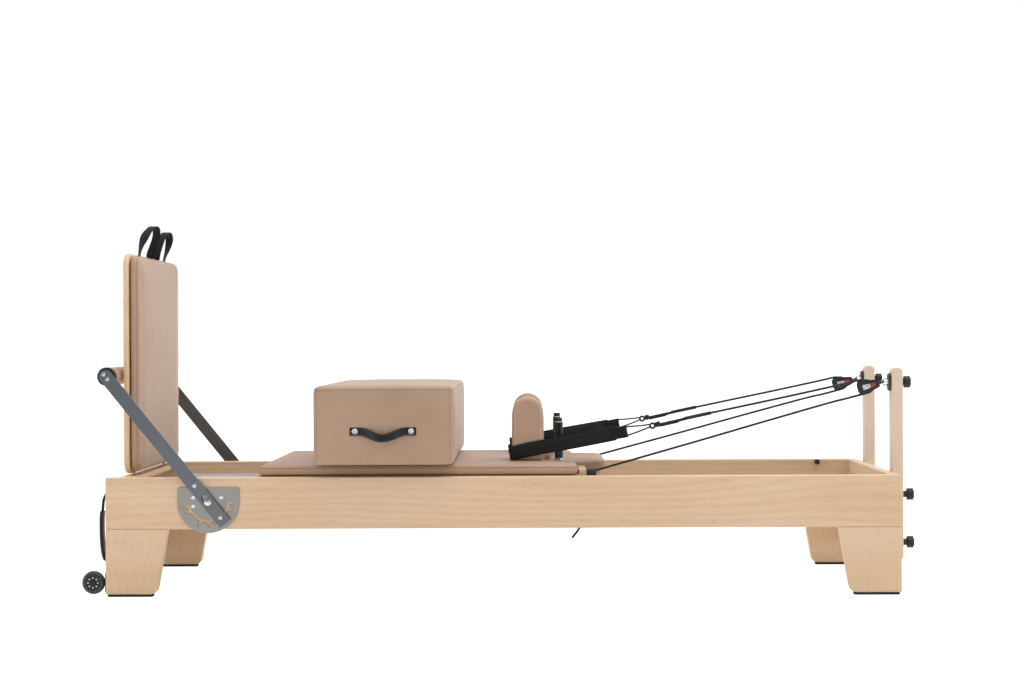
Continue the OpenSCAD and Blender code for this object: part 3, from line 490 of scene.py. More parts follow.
def strap(name, path, across, width, thickness, finish, closed=False, belly=0.0):
    """A flat strap along a path: across gives each point's direction of width.  The UV map is in metres."""
    path = [Vector(p) for p in path]
    directions = tangents(path, closed)
    edge = min(thickness * 0.45, 0.0012)
    half, deep = width / 2, thickness / 2
    outline = [
        (-half, -deep + edge), (-half + edge, -deep), (-half * 0.5, -deep - belly), (0, -deep - belly * 1.3),
        (half * 0.5, -deep - belly), (half - edge, -deep), (half, -deep + edge),
        (half, deep - edge), (half - edge, deep), (half * 0.5, deep + belly), (0, deep + belly * 1.3),
        (-half * 0.5, deep + belly), (-half + edge, deep), (-half, deep - edge),
    ]
    sides = len(outline)
    points, faces, uvs, lengths = [], [], [], []
    travelled = 0.0
    for i, (centre, direction) in enumerate(zip(path, directions)):
        wide = Vector(across[i])
        wide = (wide - direction * wide.dot(direction)).normalized()
        out = direction.cross(wide)
        travelled += (centre - path[i - 1]).length if i else 0
        lengths.append(travelled)
        points += [centre + wide * w + out * d for w, d in outline]
    count = len(path)
    lengths.append(travelled + (path[0] - path[-1]).length)
    for i in range(count if closed else count - 1):
        after = (i + 1) % count
        for k in range(sides):
            m = (k + 1) % sides
            faces.append((i * sides + k, i * sides + m, after * sides + m, after * sides + k))
            u0, u1 = outline[k][0], outline[m][0]
            uvs += [(u0, lengths[i]), (u1, lengths[i]), (u1, lengths[i + 1]), (u0, lengths[i + 1])]
    if not closed:
        last = (count - 1) * sides
        faces += [tuple(reversed(range(sides))), tuple(range(last, last + sides))]
        uvs += [(w, 0) for w, d in reversed(outline)] + [(w, travelled) for w, d in outline]
    mesh = bpy.data.meshes.new(name)
    mesh.from_pydata([tuple(p) for p in points], [], faces)
    mesh.shade_smooth()
    mesh.set_sharp_from_angle(angle=math.radians(50))
    set_uv(mesh, uvs)
    return new_object(name, mesh, finish)


def prism(name, outline, low, high, axis, finish):
    """An outline in the other two axes, in order, pushed from low to high along an axis."""
    def place(p, depth):
        spot = list(p)
        spot.insert(axis, depth)
        return spot
    count = len(outline)
    points = [place(p, low) for p in outline] + [place(p, high) for p in outline]
    faces = [tuple(range(count)), tuple(range(count, 2 * count))]
    faces += [(k, (k + 1) % count, (k + 1) % count + count, k + count) for k in range(count)]
    mesh = bpy.data.meshes.new(name)
    mesh.from_pydata(points, [], faces)
    shape = bmesh.new()
    shape.from_mesh(mesh)
    bmesh.ops.recalc_face_normals(shape, faces=shape.faces)
    shape.to_mesh(mesh)
    shape.free()
    return new_object(name, mesh, finish)


def rounded_rect(low, high, radius, steps=6):
    """The outline of a rectangle with round corners."""
    (x0, y0), (x1, y1) = low, high
    corners = [(x1 - radius, y1 - radius, 0), (x0 + radius, y1 - radius, 90),
               (x0 + radius, y0 + radius, 180), (x1 - radius, y0 + radius, 270)]
    return [
        (x + radius * math.cos(math.radians(start + 90 * k / steps)),
         y + radius * math.sin(math.radians(start + 90 * k / steps)))
        for x, y, start in corners for k in range(steps + 1)
    ]


def join(name, pieces):
    """Several pieces as one mesh."""
    whole = bmesh.new()
    materials = []
    for piece in pieces:
        start = len(whole.faces)
        whole.from_mesh(piece.data)
        whole.faces.ensure_lookup_table()
        for face in whole.faces[start:]:
            own = piece.data.materials[face.material_index]
            if own not in materials:
                materials.append(own)
            face.material_index = materials.index(own)
    mesh = bpy.data.meshes.new(name)
    whole.to_mesh(mesh)
    whole.free()
    for piece in pieces:
        bpy.data.objects.remove(piece)
    made = new_object(name, mesh, None)
    for material in materials:
        mesh.materials.append(material)
    return made


# Geometry trees for what repeats or follows a rule


class Tree:
    """A Geometry Nodes tree that ends in one finished mesh, with named inputs."""

    def __init__(self, name, inputs):
        self.group = bpy.data.node_groups.new(name, "GeometryNodeTree")
        face = self.group.interface
        self.identifiers = {}
        face.new_socket("Geometry", in_out="INPUT", socket_type="NodeSocketGeometry")
        for label, (kind, value) in inputs.items():
            socket = face.new_socket(label, in_out="INPUT", socket_type=kind)
            if value is not None:
                socket.default_value = value
            self.identifiers[label] = socket.identifier
        face.new_socket("Geometry", in_out="OUTPUT", socket_type="NodeSocketGeometry")
        self.given = self.group.nodes.new("NodeGroupInput")
        self.result = self.group.nodes.new("NodeGroupOutput")

    def add(self, kind, settings=None, **sockets):
        made = self.group.nodes.new(kind)
        for name, value in (settings or {}).items():
            setattr(made, name, value)
        for name, value in sockets.items():
            self.link(value, made.inputs[name.replace("_", " ")])
        return made

    def link(self, value, socket):
        if isinstance(value, bpy.types.NodeSocket):
            self.group.links.new(value, socket)
        elif isinstance(value, bpy.types.Node):
            self.group.links.new(value.outputs[0], socket)
        else:
            socket.default_value = value

    def end(self, geometry):
        real = self.add("GeometryNodeRealizeInstances", Geometry=geometry)
        coated = self.add("GeometryNodeSetMaterial", Geometry=real, Material=self.given.outputs["Material"])
        self.group.links.new(coated.outputs[0], self.result.inputs[0])

    def grow(self, piece, finish, **values):
        """Runs the tree on a piece, and leaves the piece as the mesh that it makes."""
        modifier = piece.modifiers.new(self.group.name, "NODES")
        modifier.node_group = self.group
        modifier[self.identifiers["Material"]] = FINISHES[finish].material
        for label, value in values.items():
            modifier[self.identifiers[label.replace("_", " ")]] = value
        settle(piece)
        return piece


MATERIAL_INPUT = ("NodeSocketMaterial", None)


def stitching_tree():
    """Stitches along a line: short rounded threads that lie end to end with small gaps."""
    tree = Tree("stitching", {
        "Pitch": ("NodeSocketFloat", 0.004), "Stitch": ("NodeSocketFloat", 0.0028),
        "Thread": ("NodeSocketFloat", 0.0004), "Material": MATERIAL_INPUT,
    })
    given = tree.given.outputs
    curve = tree.add("GeometryNodeMeshToCurve", Mesh=given["Geometry"])
    row = tree.add("GeometryNodeResampleCurve", {"mode": "LENGTH"}, Curve=curve, Length=given["Pitch"])
    thread = tree.add("GeometryNodeMeshCylinder", Vertices=6, Radius=given["Thread"], Depth=given["Stitch"])
    along = tree.add("GeometryNodeInputTangent")
    turned = tree.add("FunctionNodeAlignEulerToVector", {"axis": "Z"}, Vector=along)
    laid = tree.add(
        "GeometryNodeInstanceOnPoints", Points=row, Instance=thread.outputs["Mesh"], Rotation=turned,
    )
    tree.end(laid)
    return tree


def coil_tree():
    """Tension springs: close coils along +X from each point of the piece."""
    tree = Tree("springs", {
        "Radius": ("NodeSocketFloat", 0.011), "Wire": ("NodeSocketFloat", 0.0016),
        "Length": ("NodeSocketFloat", 0.3), "Turns": ("NodeSocketFloat", 60.0), "Material": MATERIAL_INPUT,
    })
    given = tree.given.outputs
    coil = tree.add(
        "GeometryNodeCurveSpiral", Resolution=14, Rotations=given["Turns"], Start_Radius=given["Radius"],
        End_Radius=given["Radius"], Height=given["Length"],
    )
    section = tree.add("GeometryNodeCurvePrimitiveCircle", Resolution=6, Radius=given["Wire"])
    wire = tree.add("GeometryNodeCurveToMesh", Curve=coil, Profile_Curve=section.outputs[0], Fill_Caps=True)
    lying = tree.add("GeometryNodeTransform", Geometry=wire, Rotation=(0, math.radians(90), 0))
    smooth = tree.add("GeometryNodeSetShadeSmooth", Geometry=lying)
    points = tree.add("GeometryNodeMeshToPoints", Mesh=given["Geometry"])
    laid = tree.add("GeometryNodeInstanceOnPoints", Points=points, Instance=smooth)
    tree.end(laid)
    return tree


def copies_tree():
    """Copies of one shape, such as a screw head, at each point of the piece, all turned alike."""
    tree = Tree("copies", {
        "Shape": ("NodeSocketObject", None),
        "Turn": ("NodeSocketVector", (0, 0, 0)),
        "Material": MATERIAL_INPUT,
    })
    given = tree.given.outputs
    shape = tree.add("GeometryNodeObjectInfo", {"transform_space": "ORIGINAL"}, Object=given["Shape"])
    points = tree.add("GeometryNodeMeshToPoints", Mesh=given["Geometry"])
    laid = tree.add(
        "GeometryNodeInstanceOnPoints", Points=points, Instance=shape.outputs["Geometry"],
        Rotation=given["Turn"],
    )
    tree.end(laid)
    return tree


def piping_tree():
    """A round welt along a line."""
    tree = Tree("piping", {"Radius": ("NodeSocketFloat", 0.002), "Material": MATERIAL_INPUT})
    given = tree.given.outputs
    curve = tree.add("GeometryNodeMeshToCurve", Mesh=given["Geometry"])
    section = tree.add("GeometryNodeCurvePrimitiveCircle", Resolution=8, Radius=given["Radius"])
    welt = tree.add("GeometryNodeCurveToMesh", Curve=curve, Profile_Curve=section.outputs[0], Fill_Caps=True)
    tree.end(tree.add("GeometryNodeSetShadeSmooth", Geometry=welt))
    return tree


STITCHING, COILS, COPIES, PIPING = stitching_tree(), coil_tree(), copies_tree(), piping_tree()


def line_piece(name, paths, closed=False):
    """A mesh of bare lines, for a tree to follow."""
    points, edges = [], []
    for path in paths:
        start = len(points)
        points += [tuple(p) for p in path]
        edges += [(start + k, start + k + 1) for k in range(len(path) - 1)]
        if closed:
            edges.append((start + len(path) - 1, start))
    mesh = bpy.data.meshes.new(name)
    mesh.from_pydata(points, edges, [])
    return new_object(name, mesh, None)


def sew(name, paths, body, pitch=0.0042, stitch=0.003, thread=0.00038, finish="thread", closed=False):
    """Rows of stitches that ride on a body."""
    piece = STITCHING.grow(
        line_piece(name, paths, closed), finish, Pitch=pitch, Stitch=stitch, Thread=thread,
    )
    return finish_piece(piece, body)


def welt(name, paths, body, radius, finish="piping", closed=True):
    piece = PIPING.grow(line_piece(name, paths, closed), finish, Radius=radius)
    return finish_piece(piece, body)


# Stage: camera, floor and lights

DARK_PATCH = (0.42, 0.80)  # where the room turns dark: cosines of the angle from behind the camera


def add_camera():
    """A level view from the left-hand side, a little past the middle of the frame."""
    data = bpy.data.cameras.new("camera")
    data.lens = 55.5
    data.sensor_width = 36
    data.clip_end = 60
    camera = bpy.data.objects.new("camera", data)
    bpy.context.scene.collection.objects.link(camera)
    yaw = Matrix.Rotation(math.radians(0.598), 4, "Z")
    level = Matrix.Rotation(math.radians(90.015), 4, "X")
    roll = Matrix.Rotation(math.radians(-0.278), 4, "Z")
    camera.matrix_world = Matrix.Translation(at(1.2809, -5.0952, 0.7669)) @ yaw @ level @ roll
    bpy.context.scene.camera = camera


def add_light(name, place, target, size, power, colour=(1, 1, 1), glossy=True):
    data = bpy.data.lights.new(name, "AREA")
    data.shape = "RECTANGLE"
    data.size, data.size_y = size
    data.energy = power
    data.color = colour
    light = bpy.data.objects.new(name, data)
    bpy.context.scene.collection.objects.link(light)
    light.location = place
    light.rotation_euler = (Vector(target) - Vector(place)).to_track_quat("-Z", "Y").to_euler()
    light.visible_glossy = glossy


def light_studio():
    """A white room that reflects darker from behind the camera, and two soft lights."""
    world = bpy.data.worlds.new("studio")
    bpy.context.scene.world = world
    world.use_nodes = True
    nodes, links = world.node_tree.nodes, world.node_tree.links
    nodes.clear()
    output = nodes.new("ShaderNodeOutputWorld")
    room, backdrop = nodes.new("ShaderNodeBackground"), nodes.new("ShaderNodeBackground")
    where = nodes.new("ShaderNodeTexCoord")
    facing = nodes.new("ShaderNodeVectorMath")
    facing.operation = "DOT_PRODUCT"
    facing.inputs[1].default_value = (0.1, -1.0, 0.0)
    ramp = nodes.new("ShaderNodeValToRGB")
    ramp.color_ramp.elements[0].position = DARK_PATCH[0]
    ramp.color_ramp.elements[0].color = (1, 1, 1, 1)
    ramp.color_ramp.elements[1].position = DARK_PATCH[1]
    ramp.color_ramp.elements[1].color = (0.035, 0.045, 0.06, 1)
    ray, choice = nodes.new("ShaderNodeLightPath"), nodes.new("ShaderNodeMixShader")
    links.new(where.outputs["Generated"], facing.inputs[0])
    links.new(facing.outputs["Value"], ramp.inputs["Fac"])
    links.new(ramp.outputs["Color"], room.inputs["Color"])
    links.new(ray.outputs["Is Camera Ray"], choice.inputs[0])
    links.new(room.outputs[0], choice.inputs[1])
    links.new(backdrop.outputs[0], choice.inputs[2])
    links.new(choice.outputs[0], output.inputs[0])
    room.inputs["Strength"].default_value = 1.03
    backdrop.inputs["Color"].default_value = (1, 1, 1, 1)
    backdrop.inputs["Strength"].default_value = 1.02
    sun = bpy.data.lights.new("overhead", "SUN")
    sun.energy = 1.3
    sun.color = (0.97, 0.985, 1.0)
    sun.angle = math.radians(70)
    above = bpy.data.objects.new("overhead", sun)
    bpy.context.scene.collection.objects.link(above)
    above.rotation_euler = (math.radians(6), math.radians(24), 0)
    add_light("front_fill", (-0.4, -5.0, 3.6), (0, 0, 0.3), (4.0, 2.0), 26, glossy=False)


def lay_floor():
    size = 40
    floor = make("floor", [(-size, -size, 0), (size, -size, 0), (size, size, 0), (-size, size, 0)],
                 [(0, 1, 2, 3)], None, smooth=False)
    paper = Finish("floor_paper")
    paper.constant(Roughness=0.9, Specular_IOR_Level=0.1)
    grain = paper.noise(paper.place(), 3.0, 2)
    paper.colour(paper.mix(grain, (0.93, 0.93, 0.93), (0.91, 0.91, 0.91)))
    # The camera sees the paper a little brighter than it lights the rest, like an overexposed floor.
    nodes, links = paper.tree.nodes, paper.tree.links
    glow, choice, ray = (nodes.new(f"ShaderNode{kind}") for kind in ("Emission", "MixShader", "LightPath"))
    glow.inputs["Strength"].default_value = 1.5
    share = Signal(paper, ray.outputs["Is Camera Ray"]) * 0.62
    links.new(share.socket, choice.inputs[0])
    links.new(paper.shader.outputs[0], choice.inputs[1])
    links.new(glow.outputs[0], choice.inputs[2])
    output = next(node for node in nodes if node.type == "OUTPUT_MATERIAL")
    links.new(choice.outputs[0], output.inputs["Surface"])
    floor.data.materials.append(paper.material)


add_camera()
light_studio()
lay_floor()
bpy.context.scene.view_settings.view_transform = "Standard"


# Ropes: from the free end under the cleat, up through the cleat, along to the pulley, round it, and back to
# the ring of the hand strap.  Points are for the right-hand side, from the frame's foot end.

ROPE = 0.007
ROPE_TAIL = [
    (1.413, 0.257, 0.166), (1.431, 0.259, 0.190), (1.446, 0.261, 0.222), (1.456, 0.264, 0.260),
    (1.463, 0.268, 0.300), (1.466, 0.271, 0.335), (1.467, 0.272, 0.352), (1.469, 0.272, 0.362),
    (1.475, 0.272, 0.369), (1.484, 0.272, 0.372),
]
ROPE_LOWER_RUN = [
    (1.600, 0.262, 0.404), (1.800, 0.245, 0.459), (2.000, 0.228, 0.515), (2.200, 0.209, 0.570),
    (2.262, 0.200, 0.585),
]
ROPE_UPPER_RUN = [
    (2.300, 0.200, 0.641), (2.262, 0.202, 0.632), (2.100, 0.208, 0.597), (1.980, 0.213, 0.572),
    (1.850, 0.215, 0.545), (1.760, 0.218, 0.526), (1.700, 0.221, 0.513), (1.672, 0.222, 0.507),
]
ROPE_BEND = 0.020
CARRIAGE_RUN_END = 2.04  # where the long runs are split, on the carriage side
RISER_RUN_END = 2.19  # where they are split again, before the pulley


def sheave_centre():
    """The right-hand sheave's middle, from the frame's foot end."""
    low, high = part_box("sheave_right")
    middle = (low + high) / 2
    return Vector((middle[0] - foot_end, middle[1], middle[2]))


def rope_wrap():
    centre = sheave_centre()
    return [
        centre + ROPE_BEND * Vector((math.cos(math.radians(a)), 0, math.sin(math.radians(a))))
        for a in range(-72, 97, 24)
    ]


def mirrored(points, side):
    return [at(p[0], side * p[1], p[2]) for p in points]


def split_at(path, x):
    """The path in two, at its first point past x, which both keep."""
    place = foot_end + x
    rising = path[-1].x > path[0].x
    for k, p in enumerate(path):
        if (p.x > place) == rising:
            return path[:k + 1], path[k:]
    raise ValueError("the path doesn't reach x")


def rope_length(name, path, lay):
    piece = tube(name, path, ROPE / 2, "rope", round_ends=lay == "hanging")
    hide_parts("ropes")
    path_length(path)
    return piece


def string_ropes():
    for word, side in SIDES.items():
        tail = smooth_path(mirrored(reversed(ROPE_TAIL), side), 0.005)
        lower = smooth_path(mirrored([ROPE_TAIL[-1], *ROPE_LOWER_RUN, rope_wrap()[0]], side), 0.006)
        around = smooth_path(mirrored(rope_wrap(), side), 0.002)
        upper = smooth_path(mirrored([rope_wrap()[-1], *ROPE_UPPER_RUN], side), 0.006)

        lower_carriage, rest = split_at(lower, CARRIAGE_RUN_END)
        lower_riser, lower_block = split_at(rest, RISER_RUN_END)
        upper_block, rest = split_at(upper, RISER_RUN_END)
        upper_riser, upper_carriage = split_at(rest, CARRIAGE_RUN_END)
        block = lower_block[:-1] + around[:-1] + upper_block

        piece = rope_length(f"rope_tail_{word}", tail, "hanging")
        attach(piece, "carriage")
        far, near = at(CARRIAGE_RUN_END, 0, 0), at(1.69, 0, 0)
        piece = rope_length(f"rope_lower_run_{word}", lower_carriage, "taut")
        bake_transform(piece)
        piece = rope_length(f"rope_upper_run_{word}", upper_carriage, "taut")
        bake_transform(piece)
        for level, path in (("lower", lower_riser), ("upper", upper_riser)):
            piece = rope_length(f"rope_{level}_lead_{word}", path, "taut")
            at(RISER_RUN_END, 0, 0)
            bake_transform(piece)
        piece = rope_length(f"rope_round_pulley_{word}", block, "taut")
        at(RISER_RUN_END, 0, 0)
        at(2.29, 0, 0)
        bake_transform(piece)


string_ropes()


def splice_ropes():
    """At the ring the rope's end turns back beside itself, and is whipped to it in a thicker splice."""
    near, far = at(1.69, 0, 0), at(CARRIAGE_RUN_END, 0, 0)
    for word, side in SIDES.items():
        upper = smooth_path(mirrored([rope_wrap()[-1], *ROPE_UPPER_RUN], side), 0.006)
        beside = [p + Vector((0, 0, -0.0062 if p.x < at(1.745, 0, 0).x else -0.0035))
                  for p in upper if at(1.682, 0, 0).x < p.x < at(1.765, 0, 0).x]
        whipped = [p for p in upper if at(1.758, 0, 0).x < p.x < at(1.844, 0, 0).x]
        strand = tube(f"rope_return_{word}", beside, 0.0027, "rope")
        splice = tube(f"rope_splice_{word}", whipped, 0.0056, "rope")
        for piece in (strand, splice):
            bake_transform(piece)


splice_ropes()


# Wood, steel and moulded pieces with eased edges

EASED = {
    "legs": ("frame", 0.0025, "maple_up", "maple"),
    "foot_end_board": ("frame", 0.002, "maple_cross", "maple"),
    "head_end_board": ("frame", 0.002, "maple_cross", "maple"),
    "foot_platform": ("frame", 0.0015, "maple_cross", "maple"),
    "riser_left": ("riser_left", 0.003, "maple_riser", "maple"),
    "riser_right": ("riser_right", 0.003, "maple_riser", "maple"),
    "carriage_base": ("carriage", 0.0012, "plywood", "plywood"),
    "quadrant_plates": ("frame", 0.0005, "plate_steel", "brushed_steel"),
    "foot_bar_arms": ("foot_bar", 0.0015, "arm_steel", "brushed_steel"),
    "foot_bar_caps": ("foot_bar", 0.0022, "black_plastic", "black_plastic"),
    "rope_cleats": ("carriage", 0.0022, "cleat_grey", "black_plastic"),
    "rubber_feet": ("frame", 0.0015, "rubber", "rubber"),
    "bumpers": ("frame", 0.0015, "rubber", "rubber"),
    "tracks": ("frame", 0.0005, "track_alloy", "track_alloy"),
    "wheel_brackets": ("frame", 0.0006, "black_plastic", "black_plastic"),
}
for hand in SIDES:
    EASED |= {
        f"pulley_cheeks_{hand}": (f"pulley_{hand}", 0.0009, "black_plastic", "black_plastic"),
        f"riser_knob_{hand}": (f"riser_knob_{hand}", 0.0016, "black_plastic", "black_plastic"),
        f"clamp_knob_{hand}_upper": (f"clamp_knob_{hand}_upper", 0.0016, "black_plastic", "black_plastic"),
        f"clamp_knob_{hand}_lower": (f"clamp_knob_{hand}_lower", 0.0016, "black_plastic", "black_plastic"),
    }


def ease_nodes():
    for node, (body, ease, finish, slot) in EASED.items():
        eased(node, f"{node}_eased", body, ease, finish)


def rounded_outline(corners, radii, steps=5):
    """A closed outline through corners, each rounded by its own radius."""
    points = []
    count = len(corners)
    for k, (corner, radius) in enumerate(zip(corners, radii)):
        here = Vector(corner)
        before = (Vector(corners[k - 1]) - here).normalized() * radius
        after = (Vector(corners[(k + 1) % count]) - here).normalized() * radius
        for s in range(steps + 1):
            t = s / steps
            points.append(here + before * (1 - t) ** 2 + after * t ** 2)
    return [tuple(p) for p in points]


def soften(piece, width, segments=3, angle=32):
    """Rounds a new piece's sharp edges."""
    piece.data.shade_smooth()
    add_modifier(
        piece, "BEVEL", width=width, segments=segments, limit_method="ANGLE",
        angle_limit=math.radians(angle), use_clamp_overlap=False,
    )
    add_modifier(piece, "WEIGHTED_NORMAL", weight=100, keep_sharp=True)
    return settle(piece)


def lay_rails():
    for hand in SIDES:
        node = f"side_rail_{hand}"
        low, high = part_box(node)
        corners = [(low.y, low.z), (high.y, low.z), (high.y, high.z), (low.y, high.z)]
        outline = rounded_outline(corners, [0.005] * 4, 4)
        rail = soften(prism(f"{node}_board", outline, low.x, high.x, 0, "maple_long"), 0.0025)
        finish_piece(rail, "frame", [node])


def lay_panel():
    low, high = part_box("jump_board_panel")
    outline = rounded_rect((low.y, low.z), (high.y, high.z), 0.040, 12)
    panel = soften(prism("jump_board_wood", outline, low.x, high.x, 0, "maple_panel"), 0.0065, 4)
    finish_piece(panel, "jump_board", ["jump_board_panel"])


def lathe(name, profile, centre, axis, finish, sides=40):
    """A turned piece: profile gives (distance along the axis, radius) from one end to the other."""
    u, v = Vector((0, 0, 0)), Vector((0, 0, 0))
    u[(axis + 1) % 3], v[(axis + 2) % 3] = 1, 1
    along = Vector((0, 0, 0))
    along[axis] = 1
    centre = Vector(centre)
    points = []
    for depth, radius in profile:
        for k in range(sides):
            angle = 2 * math.pi * k / sides
            points.append(centre + along * depth + (u * math.cos(angle) + v * math.sin(angle)) * radius)
    piece = make(name, points, swept_faces(len(profile), sides), finish)
    piece.data.set_sharp_from_angle(angle=math.radians(40))
    return piece


def rounded_profile(ends, radius, ease, steps=3):
    """The profile of a plain turned rod with eased ends."""
    low, high = ends
    turn = [math.radians(90 * k / steps) for k in range(steps + 1)]
    start = [(low + ease * (1 - math.sin(a)), radius - ease * (1 - math.cos(a))) for a in reversed(turn)]
    finish = [(high - ease * (1 - math.sin(a)), radius - ease * (1 - math.cos(a))) for a in turn]
    return start + finish


# Cushions

def puff(piece, held, cap, pressure=4.0, frames=20):
    """Air pressure swells the cover away from its held points, by cap at most, and the result is kept."""
    scene = bpy.context.scene
    rest = [v.co.copy() for v in piece.data.vertices]
    pins = piece.vertex_groups.new(name="held")
    pins.add([k for k, p in enumerate(rest) if held(p)], 1.0, "REPLACE")
    cover = piece.modifiers.new("cover", "CLOTH")
    cover.settings.quality = 4
    cover.settings.use_pressure = True
    cover.settings.uniform_pressure_force = pressure
    cover.settings.vertex_group_mass = "held"
    cover.settings.effector_weights.gravity = 0
    cover.point_cache.frame_start = 1
    cover.point_cache.frame_end = frames
    for step in range(1, frames + 1):
        scene.frame_set(step)
    graph = bpy.context.evaluated_depsgraph_get()
    swollen = [v.co.copy() for v in piece.evaluated_get(graph).data.vertices]
    piece.modifiers.clear()
    piece.vertex_groups.clear()
    for vertex, before, after in zip(piece.data.vertices, rest, swollen):
        move = after - before
        if move.length > 1e-9:
            move *= cap * math.tanh(move.length / cap) / move.length
        vertex.co = before + move
    scene.frame_set(1)


def relax(piece, times, factor=0.5):
    """Evens out the cover."""
    shape = bmesh.new()
    shape.from_mesh(piece.data)
    for _ in range(times):
        bmesh.ops.smooth_vert(
            shape, verts=shape.verts, factor=factor, use_axis_x=True, use_axis_y=True, use_axis_z=True
        )
    shape.to_mesh(piece.data)
    shape.free()


def upholster(piece, body, replaced, held, cap, voxel, pressure=4.0, flat=None):
    """A padded piece from its blank: an even mesh, the swelling, then one subdivision."""
    name = piece.name
    add_modifier(piece, "REMESH", mode="VOXEL", voxel_size=voxel, use_smooth_shade=True)
    settle(piece)
    relax(piece, 2)
    puff(piece, held, cap, pressure)
    relax(piece, 2)
    if flat:
        flat(piece)
    add_modifier(piece, "SUBSURF", levels=1, render_levels=1)
    settle(piece)
    piece.name = name
    piece.data.shade_smooth()
    piece.data.materials.clear()
    piece.data.materials.append(FINISHES["leatherette"].material)
    finish_piece(piece, body, replaced)
    return piece


def keep_flat(axis, place, sign=1):
    """Points that swelled past a flat face it rests on go back onto it."""
    def flatten(piece):
        for vertex in piece.data.vertices:
            if (vertex.co[axis] - place) * sign < 0:
                vertex.co[axis] = place
    return flatten


def on_skin(piece, path, sink=0.0):
    """A path laid on a cushion's surface."""
    laid = []
    for point in path:
        _, place, normal, _ = piece.closest_point_on_mesh(Vector(point))
        laid.append(place - normal * sink)
    return laid


def spread(path, step, closed=False):
    """Points about every step metres along straight lines."""
    path = [Vector(p) for p in path]
    if closed:
        path.append(path[0])
    spaced = []
    for a, b in zip(path, path[1:]):
        count = max(1, round((b - a).length / step))
        spaced += [a.lerp(b, k / count) for k in range(count)]
    return spaced if closed else spaced + [path[-1]]


def seam(name, piece, path, body, radius=0.0011, finish="seam", closed=True, sink=0.0004):
    return welt(name, [on_skin(piece, spread(path, 0.006, closed), sink)], body, radius, finish, closed)


def upholster_carriage():
    low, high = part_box("carriage_pad")
    x0, x1, y1 = low.x, high.x, high.y
    notch_x, notch_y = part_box("headrest_pad")[0][0] - 0.018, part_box("headrest_pad")[1][1] + 0.003
    inset = 0.0015
    x0, x1, y1 = x0 + inset, x1 - inset, y1 - inset
    corners = [
        (x0, -y1), (x1, -y1), (x1, -notch_y), (notch_x, -notch_y),
        (notch_x, notch_y), (x1, notch_y), (x1, y1), (x0, y1),
    ]
    outline = rounded_outline(corners, [0.014, 0.014, 0.008, 0.006, 0.006, 0.008, 0.014, 0.014])
    blank = soften(prism("carriage_cushion", outline, low.z, high.z - 0.002, 2, None), 0.0075, 3, 50)
    pad = upholster(
        blank, "carriage", ["carriage_pad"], lambda p: p.z < low.z + 0.012, 0.003, 0.0065,
        flat=keep_flat(2, low.z),
    )
    line = rounded_outline(corners, [0.014] * 8)
    seam("carriage_cushion_seam", pad, [(x, y, high.z - 0.011) for x, y in line], "carriage")
    for hand, side in SIDES.items():
        ends = [(at(1.392, 0, 0).x, side * (y1 + 0.01), z) for z in (low.z + 0.004, high.z - 0.012)]
        seam(f"carriage_cushion_join_{hand}", pad, ends, "carriage", closed=False)


def upholster_headrest():
    low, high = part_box("headrest_pad")
    corners = [(low.x, low.y), (high.x, low.y), (high.x, high.y), (low.x, high.y)]
    corners = [(x + (0.001 if x == low.x else -0.001), y * 0.992) for x, y in corners]
    outline = rounded_outline(corners, [0.010, 0.040, 0.040, 0.010], 7)
    blank = soften(prism("headrest_cushion", outline, low.z, high.z - 0.002, 2, None), 0.010, 4, 50)
    pad = upholster(
        blank, "headrest", ["headrest_pad"], lambda p: p.z < low.z + 0.010, 0.004, 0.0055,
        flat=keep_flat(2, low.z),
    )
    seam("headrest_cushion_seam", pad, [(x, y, high.z - 0.013) for x, y in outline], "headrest")


def upholster_shoulders():
    for hand in SIDES:
        node = f"shoulder_rest_{hand}"
        low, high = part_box(node)
        middle = (low + high) / 2
        pad_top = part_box("carriage_pad")[1][2] + 0.0003
        half = (high.x - low.x) / 2 - 0.001
        round_z = high.z - half - 0.001
        arch = [
            (middle.x + half * math.cos(math.radians(a)), round_z + half * math.sin(math.radians(a)))
            for a in range(0, 181, 10)
        ]
        outline = [(middle.x + half, pad_top + 0.0005), *arch, (middle.x - half, pad_top + 0.0005)]
        blank = prism(f"shoulder_cushion_{hand}", outline, low.y + 0.001, high.y - 0.001, 1, None)
        blank = soften(blank, 0.008, 4, 50)
        pad = upholster(
            blank, f"shoulder_{hand}", [node],
            lambda p: p.z < pad_top + 0.006 or min(p.y - low.y, high.y - p.y) < 0.010 < abs(p.x - middle.x),
            0.004, 0.0045, flat=keep_flat(2, pad_top),
        )
        for face, edge in (("near", low.y), ("far", high.y)):
            inner = half - 0.0085
            line = [(middle.x + inner, edge, pad_top + 0.004)]
            turns = [math.radians(a) for a in range(0, 181, 6)]
            line += [(middle.x + inner * math.cos(a), edge, round_z + inner * math.sin(a)) for a in turns]
            line.append((middle.x - inner, edge, pad_top + 0.004))
            seam(
                f"shoulder_piping_{hand}_{face}", pad, line, f"shoulder_{hand}", 0.0017, "piping",
                closed=False, sink=0.0001,
            )
        pins = [
            lathe(f"shoulder_pin_{hand}_{k}", rounded_profile((at(0, 0, 0.345).z, pad_top), 0.006, 0.001),
                  (middle.x, middle.y + k * 0.032, 0), 2, "bright_steel", 24)
            for k in (-1, 1)
        ]
        finish_piece(join(f"shoulder_pins_{hand}", pins), f"shoulder_{hand}")


def near_edges(low, high, reach):
    """Says whether a point is near one of a box's edges, where two faces meet."""
    def near(p):
        close = sum(min(p[k] - low[k], high[k] - p[k]) < reach for k in range(3))
        return close >= 2
    return near


